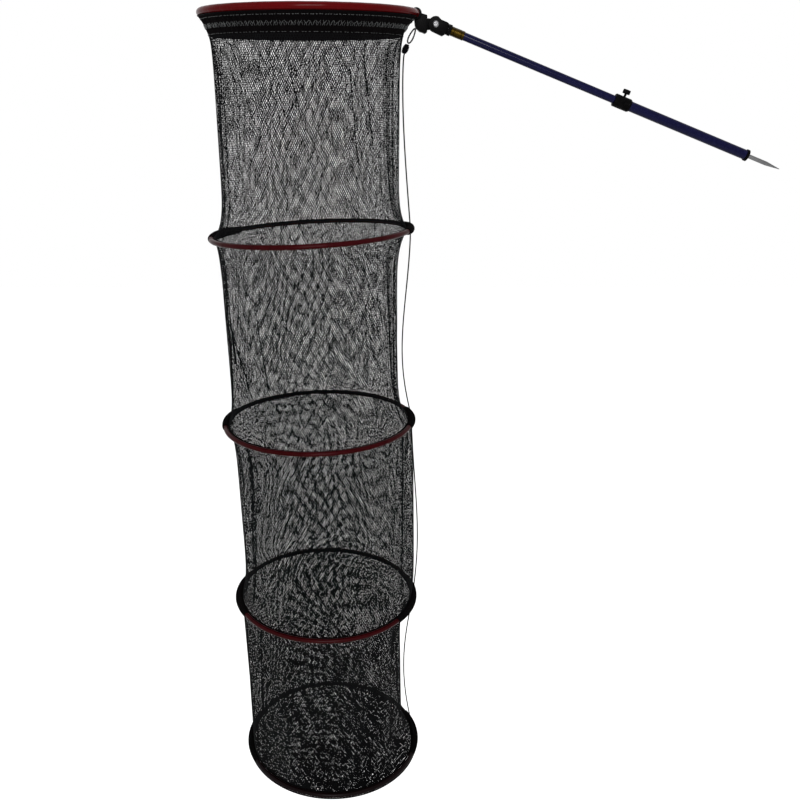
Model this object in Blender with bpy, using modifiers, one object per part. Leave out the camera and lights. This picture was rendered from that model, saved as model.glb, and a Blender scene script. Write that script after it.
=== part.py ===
"""Round keep net hung from a telescopic bank stick.

A sleeved top hoop carries a dense collar and four sections of netting, spread by three sleeved rings and
a base ring. The hoop's ends are held in a moulded block, and a fork swivels on the block's tongue. A stud
in the fork screws into the stick's brass ferrule.

Metres, +Z up. The origin is on the stick's axis, at the shoulder that meets the bank. The net hangs at -X.
Everything on the hoop is built in the hoop's frame, whose origin is the hoop's centre, and everything on
the stick in the stick's frame, whose origin is the pivot and whose +Z runs down the stick.
"""

import math

import bmesh
import bpy
from mathutils import Matrix, Vector

# Fits shared by all pieces
GAP = 0.0003
OVERRUN = 0.002
MERGE = 0.00001
FULL_TURN = 2 * math.pi

# Hoop and rings
RING_RADIUS = 0.200
HOOP_TUBE = 0.0145
HOOP_LEAN = 2.4
HOOP_SEGMENTS = 60
HOOP_END_ANGLE = 2.0
RING_TUBE = 0.0100
RING_SEGMENTS = 48
RING_END_GAP = 0.0012
RING_JOINT_ANGLE = 97.0
JOINT_PLUG = 0.0060
JOINT_PLUG_LENGTH = 0.0300
JOINT_STEPS = 4
NET_DEPTH = 1.636
RING_DEPTH_SHARES = (0.248, 0.494, 0.753, 1.0)
RING_TILTS = (2.5, 0.4, -2.0, -2.9)
RING_SHIFTS = (-0.009, -0.005, 0.0, 0.006)
RING_NAMES = ("ring_2", "ring_3", "ring_4", "base_ring")

# Collar and netting
COLLAR_HEIGHT = 0.040
COLLAR_DRAW = 0.017
COLLAR_SHIFT = 0.009
COLLAR_WALL = 0.0018
COLLAR_SIDES = 48
COLLAR_LEVELS = 2
COLLAR_SPREAD = 0.16
COLLAR_DIP = 0.0130
NET_WALL = 0.0012
NET_OPENINGS = 22
NET_ROWS = 4
NET_BAR = 0.0220
NET_DRAWS = (0.022, 0.016, 0.0095, 0.0135)
NET_SHIFTS = (-0.0015, -0.0065, 0.004, -0.0135)
FOLD_COUNTS = (10, 6)
FOLD_DEPTHS = (0.0070, 0.0045)
FOLD_TURNS = (0.0, 2.51, 3.77, 1.26)
FOLD_DRIFT = 0.25
EDGE_POWER = 6

# Base netting
BASE_CELLS = 10
BASE_STRAND = 0.0016
BASE_SAG = 0.006

# Hoop block and its tongue
BARREL = 0.0205
BARREL_LENGTH = 0.042
BLOCK_WIDTH = 0.030
BLOCK_EDGE = 0.0015
BLOCK_OUTLINE_SHARES = (
    (-0.25, 0.16),
    (0.02, 0.33),
    (0.50, 0.01),
    (1.00, -0.08),
    (1.00, -1.00),
    (0.79, -1.08),
    (0.58, -1.01),
    (0.32, -0.97),
    (0.03, -0.80),
    (-0.10, -0.66),
)
TONGUE_WIDTH = 0.009
TONGUE_RADIUS = 0.0110
PIVOT_REACH = 0.0369
PIVOT_Z = -0.0180
PIVOT_BORE = 0.0064
PIN_DIAMETER = 0.0030
PIN_INSET = 0.0080
PIN_LENGTH = 0.0080

# Tilt head
STICK_SLOPE = 21.0
EAR_RADIUS = 0.0140
EAR_THICKNESS = 0.0060
FORK_THROAT = 0.0130
FORK_BACK = 0.0110
FORK_LIP = 0.0150
FORK_LIP_END = 0.0190
FORK_EDGE = 0.0008
NECK_END = 0.0250
NECK_DIAMETER = 0.0200
LOCK_NUT = 0.0205
LOCK_NUT_LENGTH = 0.0060
STUD = 0.0092
STUD_IN_FORK = 0.0090
STUD_IN_FERRULE = 0.0120
SCREW_SHANK = 0.0058
SCREW_HEAD = 0.0122
SCREW_HEAD_HEIGHT = 0.0030
SCREW_HEAD_TOP = 0.0105
RECESS_LENGTH = 0.0066
RECESS_WIDTH = 0.0014
RECESS_DEPTH = 0.0016
WASHER = 0.0120
WASHER_THICKNESS = 0.0010
NUT_ACROSS = 0.0118
NUT_HEIGHT = 0.0050
NUT_SIDES = 6

# Stick
FERRULE = 0.0170
FERRULE_LENGTH = 0.0260
FERRULE_SOCKET = 0.0120
UPPER_TUBE = 0.0150
UPPER_WALL = 0.0010
UPPER_TAIL = 0.4500
BUSH_LENGTH = 0.0180
LOWER_TUBE = 0.0190
LOWER_WALL = 0.0010
TUBE_LAP = 0.0680
CLAMP_SHOULDER = 0.0100
CLAMP_DIAMETER = 0.0245
CLAMP_LENGTH = 0.0340
CLAMP_LIP = 0.0030
PLUG_FLANGE = 0.0225
PLUG_FLANGE_THICKNESS = 0.0050
PLUG_DEPTH = 0.0200
STICK_LENGTH = 0.6650
SPIKE = 0.0080
SPIKE_SEAT = 0.0150
SPIKE_STRAIGHT = 0.0420
SPIKE_POINT = 0.0300
SPIKE_TIP = 0.0012
THUMB_THREAD = 0.0048
THUMB_HEAD = 0.0150
THUMB_HEAD_LENGTH = 0.0080
THUMB_HEAD_END = 0.0135
THUMB_STEM = 0.0050
THUMB_PLACE = 0.0170

# Side cord
CORD = 0.0030
CORD_STEP = 0.0400
CORD_BOWS = (-0.0060, -0.0190, 0.0112, -0.0240)
CORD_BOW_TURNS = (0.7, 1.5, 1.5, 1.0)
LOOP_PLACE_SHARES = (-0.03, -0.735)
LOOP_LEAN = 27.0
LOOP_STAND = 0.0007
LOOP_WIDTH = 0.0080
LOOP_HEIGHT = 0.0280
LOOP_POINTS = 18
LOOP_TAPER_SHARE = 0.25
KNOT = 0.0130
KNOT_HEIGHT = 0.0200
KNOT_SIDES = 10
KNOT_BANDS = 6

# Roundness
TURNED_STEPS = 20
SMALL_STEPS = 12
SHARP_ANGLE = 35.0
BEVEL_ANGLE = 40.0
BEVEL_SEGMENTS = 2

STICK_TURN = math.radians(90.0 + STICK_SLOPE)
STICK_ALONG = Vector((math.sin(STICK_TURN), 0.0, math.cos(STICK_TURN)))
PIVOT_X = RING_RADIUS + PIVOT_REACH
PIVOT = Vector((PIVOT_X, 0.0, PIVOT_Z))
BLOCK_REACH = PIVOT_REACH - EAR_RADIUS - OVERRUN
BLOCK_FOOT = EAR_RADIUS - PIVOT_Z
COLLAR_FOOT_RADIUS = RING_RADIUS - COLLAR_DRAW
LOWER_TOP = UPPER_TAIL - TUBE_LAP
CLAMP_TOP = LOWER_TOP - CLAMP_SHOULDER
LEAN = Matrix.Rotation(math.radians(HOOP_LEAN), 4, "X")
RING_BORE = RING_RADIUS * math.cos(math.pi / RING_SEGMENTS) - RING_TUBE / 2 - GAP
HOOP_CENTRE = -(LEAN @ (PIVOT + STICK_ALONG * STICK_LENGTH))
HOOP_FRAME = Matrix.Translation(HOOP_CENTRE) @ LEAN
STICK_FRAME = HOOP_FRAME @ Matrix.Translation(PIVOT) @ Matrix.Rotation(STICK_TURN, 4, "Y")
EAR_INNER = TONGUE_WIDTH / 2 + GAP
EAR_OUTER = EAR_INNER + EAR_THICKNESS
FERRULE_TOP = NECK_END + LOCK_NUT_LENGTH + 2 * GAP
FERRULE_END = FERRULE_TOP + FERRULE_LENGTH

COLOURS = {
    "red_sleeve": ((0.20, 0.008, 0.010), 0.28, 0.0),
    "black_moulding": ((0.012, 0.012, 0.013), 0.45, 0.0),
    "black_sleeve": ((0.020, 0.008, 0.008), 0.35, 0.0),
    "netting": ((0.010, 0.010, 0.010), 0.80, 0.0),
    "cord": ((0.008, 0.008, 0.008), 0.85, 0.0),
    "bright_steel": ((0.62, 0.62, 0.63), 0.25, 1.0),
    "brass": ((0.42, 0.27, 0.07), 0.30, 1.0),
    "blue_tube": ((0.006, 0.006, 0.075), 0.25, 0.0),
}


def start_scene():
    """Clears the scene and makes the collections for the parts and for the cutters."""
    for old in list(bpy.data.objects):
        bpy.data.objects.remove(old)
    found = {}
    for name in ("keep_net", "cutters"):
        found[name] = bpy.data.collections.new(name)
        bpy.context.scene.collection.children.link(found[name])
    return found


COLLECTIONS = start_scene()


def material(slot):
    """The plain material of a slot, made once."""
    made = bpy.data.materials.get(slot)
    if made:
        return made
    colour, roughness, metallic = COLOURS[slot]
    made = bpy.data.materials.new(slot)
    made.use_nodes = True
    shader = made.node_tree.nodes["Principled BSDF"]
    shader.inputs["Base Color"].default_value = (*colour, 1.0)
    shader.inputs["Roughness"].default_value = roughness
    shader.inputs["Metallic"].default_value = metallic
    return made


def frame_empty(name, matrix):
    """An empty that the pieces of one frame are parented to."""
    made = bpy.data.objects.new(name, None)
    made.matrix_world = matrix
    COLLECTIONS["keep_net"].objects.link(made)
    return made


HOOP_EMPTY = frame_empty("hoop_frame", HOOP_FRAME)
STICK_EMPTY = frame_empty("stick_frame", STICK_FRAME)


def ring_frame(index):
    """Where ring number index hangs: below the hoop, shifted and tilted as it settles."""
    drop = Vector((RING_SHIFTS[index], 0.0, -NET_DEPTH * RING_DEPTH_SHARES[index]))
    turn = Matrix.Rotation(-math.radians(RING_TILTS[index]), 4, "Y")
    return Matrix.Translation(HOOP_CENTRE + drop) @ turn


RING_FRAMES = [ring_frame(index) for index in range(len(RING_NAMES))]
RING_EMPTIES = [frame_empty(f"{name}_frame", at) for name, at in zip(RING_NAMES, RING_FRAMES)]


def adopt(piece, parent, slot, place=Matrix.Identity(4), smooth=True):
    """Gives a piece its material, its frame and its place in that frame."""
    piece.parent = parent
    piece.matrix_local = place
    piece.data.materials.clear()
    piece.data.materials.append(material(slot))
    if smooth and piece.type == "MESH":
        piece.data.shade_smooth()
        piece.data.set_sharp_from_angle(angle=math.radians(SHARP_ANGLE))
    return piece


def link(name, data, collection="keep_net"):
    """An object for the data, in a collection."""
    made = bpy.data.objects.new(name, data)
    COLLECTIONS[collection].objects.link(made)
    if collection == "cutters":
        made.hide_render = True
        made.display_type = "WIRE"
    return made


def baked(piece):
    """The same object as a plain mesh with its curve or modifiers applied and its seams welded."""
    bpy.context.view_layer.update()
    seen = piece.evaluated_get(bpy.context.evaluated_depsgraph_get())
    data = bpy.data.meshes.new_from_object(seen)
    shape = bmesh.new()
    shape.from_mesh(data)
    bmesh.ops.remove_doubles(shape, verts=shape.verts, dist=MERGE)
    bmesh.ops.recalc_face_normals(shape, faces=shape.faces)
    shape.to_mesh(data)
    shape.free()
    name, home, where = piece.name, piece.users_collection[0], piece.matrix_world.copy()
    bpy.data.objects.remove(piece)
    made = bpy.data.objects.new(name, data)
    home.objects.link(made)
    made.matrix_world = where
    return made


def combine(piece, other, operation):
    """Adds the other mesh to the piece or cuts it out, and removes the other."""
    tool = piece.modifiers.new(operation.lower(), "BOOLEAN")
    tool.operation = operation
    tool.solver = "EXACT"
    tool.object = other
    made = baked(piece)
    bpy.data.objects.remove(other)
    return made


def tube(name, points, diameter, resolution=2, closed=False, collection="keep_net"):
    """A round tube along the points, with filled ends."""
    data = bpy.data.curves.new(name, "CURVE")
    data.dimensions = "3D"
    data.bevel_depth = diameter / 2
    data.bevel_resolution = resolution
    data.use_fill_caps = True
    spline = data.splines.new("POLY")
    spline.points.add(len(points) - 1)
    for slot, point in zip(spline.points, points):
        slot.co = (*point, 1.0)
    spline.use_cyclic_u = closed
    return baked(link(name, data, collection))


def turned(name, profile, steps=TURNED_STEPS):
    """A solid turned about Z from a closed outline of (radius, height), run down its outer side."""
    data = bpy.data.meshes.new(name)
    corners = [(radius, 0.0, height) for radius, height in profile]
    edges = [(i, (i + 1) % len(corners)) for i in range(len(corners))]
    data.from_pydata(corners, edges, [])
    piece = link(name, data)
    spin = piece.modifiers.new("turn", "SCREW")
    spin.steps = steps
    spin.render_steps = steps
    spin.use_merge_vertices = True
    spin.merge_threshold = MERGE
    return baked(piece)


def cylinder(name, diameter, length, steps=TURNED_STEPS, far=None, collection="keep_net"):
    """A cylinder or cone along +Z that starts at its own origin."""
    shape = bmesh.new()
    end = diameter if far is None else far
    lift = Matrix.Translation((0.0, 0.0, length / 2))
    bmesh.ops.create_cone(
        shape,
        cap_ends=True,
        segments=steps,
        radius1=diameter / 2,
        radius2=end / 2,
        depth=length,
        matrix=lift,
    )
    data = bpy.data.meshes.new(name)
    shape.to_mesh(data)
    shape.free()
    return link(name, data, collection)


def box(name, size, centre, collection="cutters"):
    """A box of a size about a centre."""
    shape = bmesh.new()
    place = Matrix.Translation(centre) @ Matrix.Diagonal((*size, 1.0))
    bmesh.ops.create_cube(shape, size=1.0, matrix=place)
    data = bpy.data.meshes.new(name)
    shape.to_mesh(data)
    shape.free()
    return link(name, data, collection)


def slab(name, outline, thickness, edge=0.0, collection="keep_net"):
    """A flat outline in X and Z, as thick as given along Y, with its edges rounded."""
    data = bpy.data.curves.new(name, "CURVE")
    data.dimensions = "2D"
    data.fill_mode = "BOTH"
    data.extrude = thickness / 2
    spline = data.splines.new("POLY")
    spline.points.add(len(outline) - 1)
    for slot, (x, z) in zip(spline.points, outline):
        slot.co = (x, z, 0.0, 1.0)
    spline.use_cyclic_u = True
    piece = link(name, data, collection)
    piece.matrix_world = Matrix.Rotation(math.radians(90.0), 4, "X")
    piece = baked(piece)
    piece.data.transform(piece.matrix_world)
    piece.matrix_world = Matrix.Identity(4)
    if edge:
        rounding = piece.modifiers.new("edges", "BEVEL")
        rounding.width = edge
        rounding.segments = BEVEL_SEGMENTS
        rounding.angle_limit = math.radians(BEVEL_ANGLE)
        piece = baked(piece)
    return piece


def move(piece, matrix):
    """Moves the piece's mesh, so that its object stays at its frame's origin."""
    piece.data.transform(matrix)
    return piece


def arc_points(radius, start, stop, segments, centre=(0.0, 0.0)):
    """Points (x, y) on an arc, its angles in degrees."""
    found = []
    for step in range(segments + 1):
        angle = math.radians(start + (stop - start) * step / segments)
        found.append((centre[0] + radius * math.cos(angle), centre[1] + radius * math.sin(angle)))
    return found


def along_y(matrix=Matrix.Identity(4)):
    """A turn that lays a piece built along +Z along -Y, so that its far end faces the front."""
    return matrix @ Matrix.Rotation(math.radians(90.0), 4, "X")


def hoop_path():
    """The hoop's centre line, open where its two ends stand in the block."""
    ring = arc_points(RING_RADIUS, HOOP_END_ANGLE, 360.0 - HOOP_END_ANGLE, HOOP_SEGMENTS)
    return [(x, y, 0.0) for x, y in ring]


def make_top_hoop():
    """The sleeved top hoop, with both ends in the block."""
    hoop = tube("top_hoop", hoop_path(), HOOP_TUBE, resolution=3)
    return adopt(hoop, HOOP_EMPTY, "red_sleeve")


def make_hoop_block():
    """The moulded block: a barrel across the hoop's ends, a body below it and a tongue for the fork.

    The body's outline is in shares of its reach out from the hoop's end and of its depth below it.
    """
    barrel_radius = BARREL / 2
    outline = [(RING_RADIUS + BLOCK_REACH * x, BLOCK_FOOT * z) for x, z in BLOCK_OUTLINE_SHARES]
    block = slab("hoop_block", outline, BLOCK_WIDTH, BLOCK_EDGE)
    barrel = cylinder("barrel", BARREL, BARREL_LENGTH, TURNED_STEPS, collection="cutters")
    middle = Matrix.Translation((RING_RADIUS, BARREL_LENGTH / 2, 0.0))
    block = combine(block, move(barrel, along_y(middle)), "UNION")
    root_x = RING_RADIUS + barrel_radius
    arm = math.atan2(PIVOT_Z, PIVOT_X - root_x)
    turn = math.degrees(arm)
    tongue_outline = arc_points(TONGUE_RADIUS, turn - 90.0, turn + 90.0, SMALL_STEPS, (PIVOT_X, PIVOT_Z))
    tongue_outline.append((root_x, PIVOT_Z + TONGUE_RADIUS))
    tongue_outline.append((root_x, PIVOT_Z - TONGUE_RADIUS))
    block = combine(block, slab("tongue", tongue_outline, TONGUE_WIDTH, collection="cutters"), "UNION")
    sockets = tube("sockets", hoop_path(), HOOP_TUBE + 2 * GAP, resolution=3, collection="cutters")
    block = combine(block, sockets, "DIFFERENCE")
    bore = cylinder("pivot_hole", PIVOT_BORE, BLOCK_WIDTH, SMALL_STEPS, collection="cutters")
    at = Matrix.Translation((PIVOT_X, BLOCK_WIDTH / 2, PIVOT_Z))
    block = combine(block, move(bore, along_y(at)), "DIFFERENCE")
    return block


def make_hoop_pins(block):
    """Two pins up through the block that stop against the hoop's ends, and their holes."""
    top = -HOOP_TUBE / 2 - GAP
    bore, depth = PIN_DIAMETER + 2 * GAP, PIN_LENGTH + OVERRUN
    for name, side in (("hoop_pin_front", -1), ("hoop_pin_back", 1)):
        at = Matrix.Translation((RING_RADIUS, side * (BARREL_LENGTH / 2 - PIN_INSET), top - PIN_LENGTH))
        hole = cylinder("pin_hole", bore, depth, SMALL_STEPS, collection="cutters")
        block = combine(block, move(hole, at), "DIFFERENCE")
        pin = cylinder(name, PIN_DIAMETER, PIN_LENGTH, SMALL_STEPS)
        adopt(move(pin, at), HOOP_EMPTY, "bright_steel")
    return adopt(block, HOOP_EMPTY, "black_moulding")


def surface(name, grid, wall, openings=False):
    """A shell round the axis: rows of points in rings, thickened inwards by the wall.

    With openings, every other cell of every other row is left out.
    """
    rows, sides = len(grid), len(grid[0])
    corners = [point for row in grid for point in row]
    faces = []
    for row in range(rows - 1):
        for side in range(sides):
            if openings and row % 2 and side % 2:
                continue
            after = (side + 1) % sides
            low = row * sides
            faces.append((low + sides + side, low + sides + after, low + after, low + side))
    data = bpy.data.meshes.new(name)
    data.from_pydata(corners, [], faces)
    piece = link(name, data)
    skin = piece.modifiers.new("wall", "SOLIDIFY")
    skin.thickness = wall
    skin.offset = -1.0
    return baked(piece)


def make_collar():
    """The dense band under the hoop. It draws in to its foot, off to the left, and in behind the block."""
    top = HOOP_TUBE / 2 + GAP + COLLAR_WALL / 2
    grid = []
    for step in range(COLLAR_LEVELS + 1):
        share = step / COLLAR_LEVELS
        radius = RING_RADIUS + (COLLAR_FOOT_RADIUS - RING_RADIUS) * math.sin(share * math.pi / 2)
        height = -top - (COLLAR_HEIGHT - top) * share
        row = []
        for side in range(COLLAR_SIDES):
            angle = FULL_TURN * side / COLLAR_SIDES
            off = min(angle, FULL_TURN - angle) / COLLAR_SPREAD
            near = radius - COLLAR_DIP * math.exp(-off * off) * (1.0 - share)
            row.append((near * math.cos(angle) - COLLAR_SHIFT * share, near * math.sin(angle), height))
        grid.append(row)
    return adopt(surface("collar_band", grid, COLLAR_WALL), HOOP_EMPTY, "netting")


def net_point(index, angle, share):
    """The netting's outer point at an angle and a share of the way down its section, about its axis."""
    top = RING_BORE
    if index == 0 and share < 0.5:
        top = COLLAR_FOOT_RADIUS
    inset = 1.0 - abs(2 * share - 1.0) ** EDGE_POWER
    radius = top + (RING_RADIUS - NET_DRAWS[index] - top) * inset
    turn = FOLD_TURNS[index] + FOLD_DRIFT * share
    for count, depth in zip(FOLD_COUNTS, FOLD_DEPTHS):
        radius -= inset * depth * (0.5 - 0.5 * math.cos(count * angle + turn * count / 2))
    return Vector((radius * math.cos(angle) + NET_SHIFTS[index] * inset, radius * math.sin(angle), 0.0))


def section_ends(index):
    """The frames that a section hangs between, and how far inside each it stops."""
    inside = (NET_WALL + GAP) / 2
    if index == 0:
        upper = HOOP_FRAME @ Matrix.Translation((-COLLAR_SHIFT, 0.0, -COLLAR_HEIGHT - inside))
    else:
        upper = RING_FRAMES[index - 1] @ Matrix.Translation((0.0, 0.0, -inside))
    lift = BASE_STRAND + GAP if index == len(RING_NAMES) - 1 else inside
    return upper, RING_FRAMES[index] @ Matrix.Translation((0.0, 0.0, lift))


def bar_edges(length, bar, openings):
    """Where bars start and stop along a length, each with an opening after it."""
    pitch = length / openings
    return [edge for step in range(openings) for edge in (step * pitch, step * pitch + bar)]


def make_net_section(index):
    """One hanging section of netting with its main folds, from one ring to the next.

    A plain grid of openings stands for the fine mesh.
    """
    upper, lower = section_ends(index)
    height = (upper.translation - lower.translation).length
    levels = bar_edges(height - NET_BAR, NET_BAR, NET_ROWS) + [height - NET_BAR, height]
    angles = bar_edges(FULL_TURN, NET_BAR / RING_RADIUS, NET_OPENINGS)
    grid = []
    for level in levels:
        share = level / height
        row = []
        for angle in angles:
            flat = net_point(index, angle, share)
            row.append((upper @ flat) * (1.0 - share) + (lower @ flat) * share)
        grid.append(row)
    net = surface(f"net_section_{index + 1}", grid, NET_WALL, openings=True)
    return adopt(net, None, "netting")


def joint_path(length):
    """The arc of the plug that joins a ring's two ends, in the ring's frame."""
    half = math.degrees(length / 2 / RING_RADIUS)
    flat = arc_points(RING_RADIUS, RING_JOINT_ANGLE - half, RING_JOINT_ANGLE + half, JOINT_STEPS)
    return [(x, y, 0.0) for x, y in flat]


def make_ring(index):
    """A sleeved ring whose two ends meet at the back, and the plug inside that joins them."""
    name = RING_NAMES[index]
    half = math.degrees(RING_END_GAP / 2 / RING_RADIUS)
    start = RING_JOINT_ANGLE + half
    flat = arc_points(RING_RADIUS, start, start + 360.0 - 2 * half, RING_SEGMENTS)
    ring = tube(name, [(x, y, 0.0) for x, y in flat], RING_TUBE)
    path = joint_path(JOINT_PLUG_LENGTH + 2 * GAP)
    ring = combine(ring, tube("bore", path, JOINT_PLUG + 2 * GAP, collection="cutters"), "DIFFERENCE")
    adopt(ring, RING_EMPTIES[index], "black_sleeve" if name == "base_ring" else "red_sleeve")
    plug = tube(f"{name}_plug", joint_path(JOINT_PLUG_LENGTH), JOINT_PLUG)
    return adopt(plug, RING_EMPTIES[index], "black_moulding")


def disc_place(across, along):
    """Where a point of the square from -1 to 1 lands on the unit disc."""
    return across * math.sqrt(1.0 - along * along / 2), along * math.sqrt(1.0 - across * across / 2)


def make_base_net():
    """The flat netting in the base ring: a lattice of strands that sags a little."""
    reach = RING_BORE - BASE_STRAND / 2
    cells = BASE_CELLS
    corners = []
    for row in range(cells + 1):
        for column in range(cells + 1):
            x, y = disc_place(2 * column / cells - 1.0, 2 * row / cells - 1.0)
            corners.append((x * reach, y * reach, -BASE_SAG * (1.0 - x * x - y * y)))
    faces = []
    for row in range(cells):
        for column in range(cells):
            low = row * (cells + 1) + column
            faces.append((low, low + 1, low + cells + 2, low + cells + 1))
    data = bpy.data.meshes.new("base_net")
    data.from_pydata(corners, [], faces)
    piece = link("base_net", data)
    lattice = piece.modifiers.new("strands", "WIREFRAME")
    lattice.thickness = BASE_STRAND
    lattice.use_boundary = True
    lattice.use_even_offset = False
    return adopt(baked(piece), RING_EMPTIES[-1], "netting")


def make_tilt_fork():
    """The fork: two ears on the block's tongue, a throat, a lower lip and a neck with the stud's hole."""
    outline = arc_points(EAR_RADIUS, 180.0, 360.0, SMALL_STEPS)
    outline.append((FORK_LIP, FORK_LIP_END))
    outline.append((NECK_DIAMETER / 2, NECK_END - OVERRUN))
    outline.append((-NECK_DIAMETER / 2, NECK_END - OVERRUN))
    outline.append((-FORK_BACK, FORK_LIP_END))
    outline.append((-FORK_BACK, EAR_RADIUS / 2))
    fork = slab("tilt_fork", outline, 2 * EAR_OUTER, FORK_EDGE)
    neck = cylinder("neck", NECK_DIAMETER, NECK_END - FORK_THROAT, TURNED_STEPS, collection="cutters")
    fork = combine(fork, move(neck, Matrix.Translation((0.0, 0.0, FORK_THROAT))), "UNION")
    mouth = EAR_RADIUS + OVERRUN
    slot_size = (4 * EAR_RADIUS, 2 * EAR_INNER, FORK_THROAT + mouth)
    slot = box("throat", slot_size, Vector((0.0, 0.0, (FORK_THROAT - mouth) / 2)))
    fork = combine(fork, slot, "DIFFERENCE")
    bore = cylinder("ear_holes", PIVOT_BORE, 2 * EAR_OUTER + 2 * OVERRUN, SMALL_STEPS, collection="cutters")
    at = Matrix.Translation((0.0, EAR_OUTER + OVERRUN, 0.0))
    fork = combine(fork, move(bore, along_y(at)), "DIFFERENCE")
    depth = STUD_IN_FORK + GAP + OVERRUN
    hole = cylinder("stud_hole", STUD + 2 * GAP, depth, SMALL_STEPS, collection="cutters")
    at = Matrix.Translation((0.0, 0.0, NECK_END - STUD_IN_FORK - GAP))
    fork = combine(fork, move(hole, at), "DIFFERENCE")
    return adopt(fork, STICK_EMPTY, "black_moulding")


def make_pivot():
    """The cross-recessed pivot screw, its two washers and its nut."""
    face = EAR_OUTER + WASHER_THICKNESS + 2 * GAP
    tail = face + NUT_HEIGHT
    screw = cylinder("pivot_screw", SCREW_SHANK, face + tail, SMALL_STEPS)
    head = cylinder("head", SCREW_HEAD, SCREW_HEAD_HEIGHT, TURNED_STEPS, SCREW_HEAD_TOP, "cutters")
    screw = combine(screw, move(head, Matrix.Translation((0.0, 0.0, face + tail))), "UNION")
    top = face + tail + SCREW_HEAD_HEIGHT
    for size in ((RECESS_LENGTH, RECESS_WIDTH), (RECESS_WIDTH, RECESS_LENGTH)):
        slot = box("recess", (*size, 2 * RECESS_DEPTH), Vector((0.0, 0.0, top)))
        screw = combine(screw, slot, "DIFFERENCE")
    at = along_y(Matrix.Translation((0.0, tail, 0.0)))
    adopt(move(screw, at), STICK_EMPTY, "bright_steel")
    starts = (("washer_front", -EAR_OUTER - GAP), ("washer_back", EAR_OUTER + GAP + WASHER_THICKNESS))
    for name, start in starts:
        ring = turned(name, pipe_profile(WASHER, PIVOT_BORE, 0.0, WASHER_THICKNESS), SMALL_STEPS)
        adopt(move(ring, along_y(Matrix.Translation((0.0, start, 0.0)))), STICK_EMPTY, "bright_steel")
    nut = cylinder("pivot_nut", NUT_ACROSS, NUT_HEIGHT, NUT_SIDES)
    depth = NUT_HEIGHT + 2 * OVERRUN
    hole = cylinder("nut_hole", SCREW_SHANK + 2 * GAP, depth, SMALL_STEPS, collection="cutters")
    nut = combine(nut, move(hole, Matrix.Translation((0.0, 0.0, -OVERRUN))), "DIFFERENCE")
    at = along_y(Matrix.Translation((0.0, tail, 0.0)))
    return adopt(move(nut, at), STICK_EMPTY, "bright_steel")


def pipe_profile(outside, inside, start, length):
    """The outline of a plain pipe for turned()."""
    outer, inner, stop = outside / 2, inside / 2, start + length
    return [(outer, stop), (outer, start), (inner, start), (inner, stop)]


def make_stud_and_nut():
    """The threaded stud that joins the fork to the ferrule, and the lock nut on it."""
    start = NECK_END - STUD_IN_FORK
    stud = cylinder("thread_stud", STUD, STUD_IN_FORK + LOCK_NUT_LENGTH + STUD_IN_FERRULE, SMALL_STEPS)
    adopt(move(stud, Matrix.Translation((0.0, 0.0, start))), STICK_EMPTY, "bright_steel")
    profile = pipe_profile(LOCK_NUT, STUD + 2 * GAP, NECK_END + GAP, LOCK_NUT_LENGTH)
    return adopt(turned("lock_nut", profile, SMALL_STEPS), STICK_EMPTY, "black_moulding")


def make_upper_stick():
    """The brass ferrule, the blue tube in its socket and the bush that guides the tube's tail."""
    web = FERRULE_LENGTH - FERRULE_SOCKET
    outer, thread = FERRULE / 2, STUD / 2 + GAP
    socket = UPPER_TUBE / 2 + GAP
    ferrule_profile = [
        (outer, FERRULE_END),
        (outer, FERRULE_TOP),
        (thread, FERRULE_TOP),
        (thread, FERRULE_TOP + web),
        (socket, FERRULE_TOP + web),
        (socket, FERRULE_END),
    ]
    adopt(turned("brass_ferrule", ferrule_profile), STICK_EMPTY, "brass")
    start = FERRULE_TOP + web + GAP
    inside = UPPER_TUBE - 2 * UPPER_WALL
    profile = pipe_profile(UPPER_TUBE, inside, start, UPPER_TAIL - start)
    adopt(turned("upper_tube", profile), STICK_EMPTY, "blue_tube")
    rim = LOWER_TUBE / 2 - LOWER_WALL - GAP
    stem = inside / 2 - GAP
    bush_profile = [
        (rim, UPPER_TAIL + BUSH_LENGTH / 2),
        (rim, UPPER_TAIL + GAP),
        (stem, UPPER_TAIL + GAP),
        (stem, UPPER_TAIL - BUSH_LENGTH / 2),
        (0.0, UPPER_TAIL - BUSH_LENGTH / 2),
        (0.0, UPPER_TAIL + BUSH_LENGTH / 2),
    ]
    return adopt(turned("guide_bush", bush_profile), STICK_EMPTY, "black_moulding")


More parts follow.
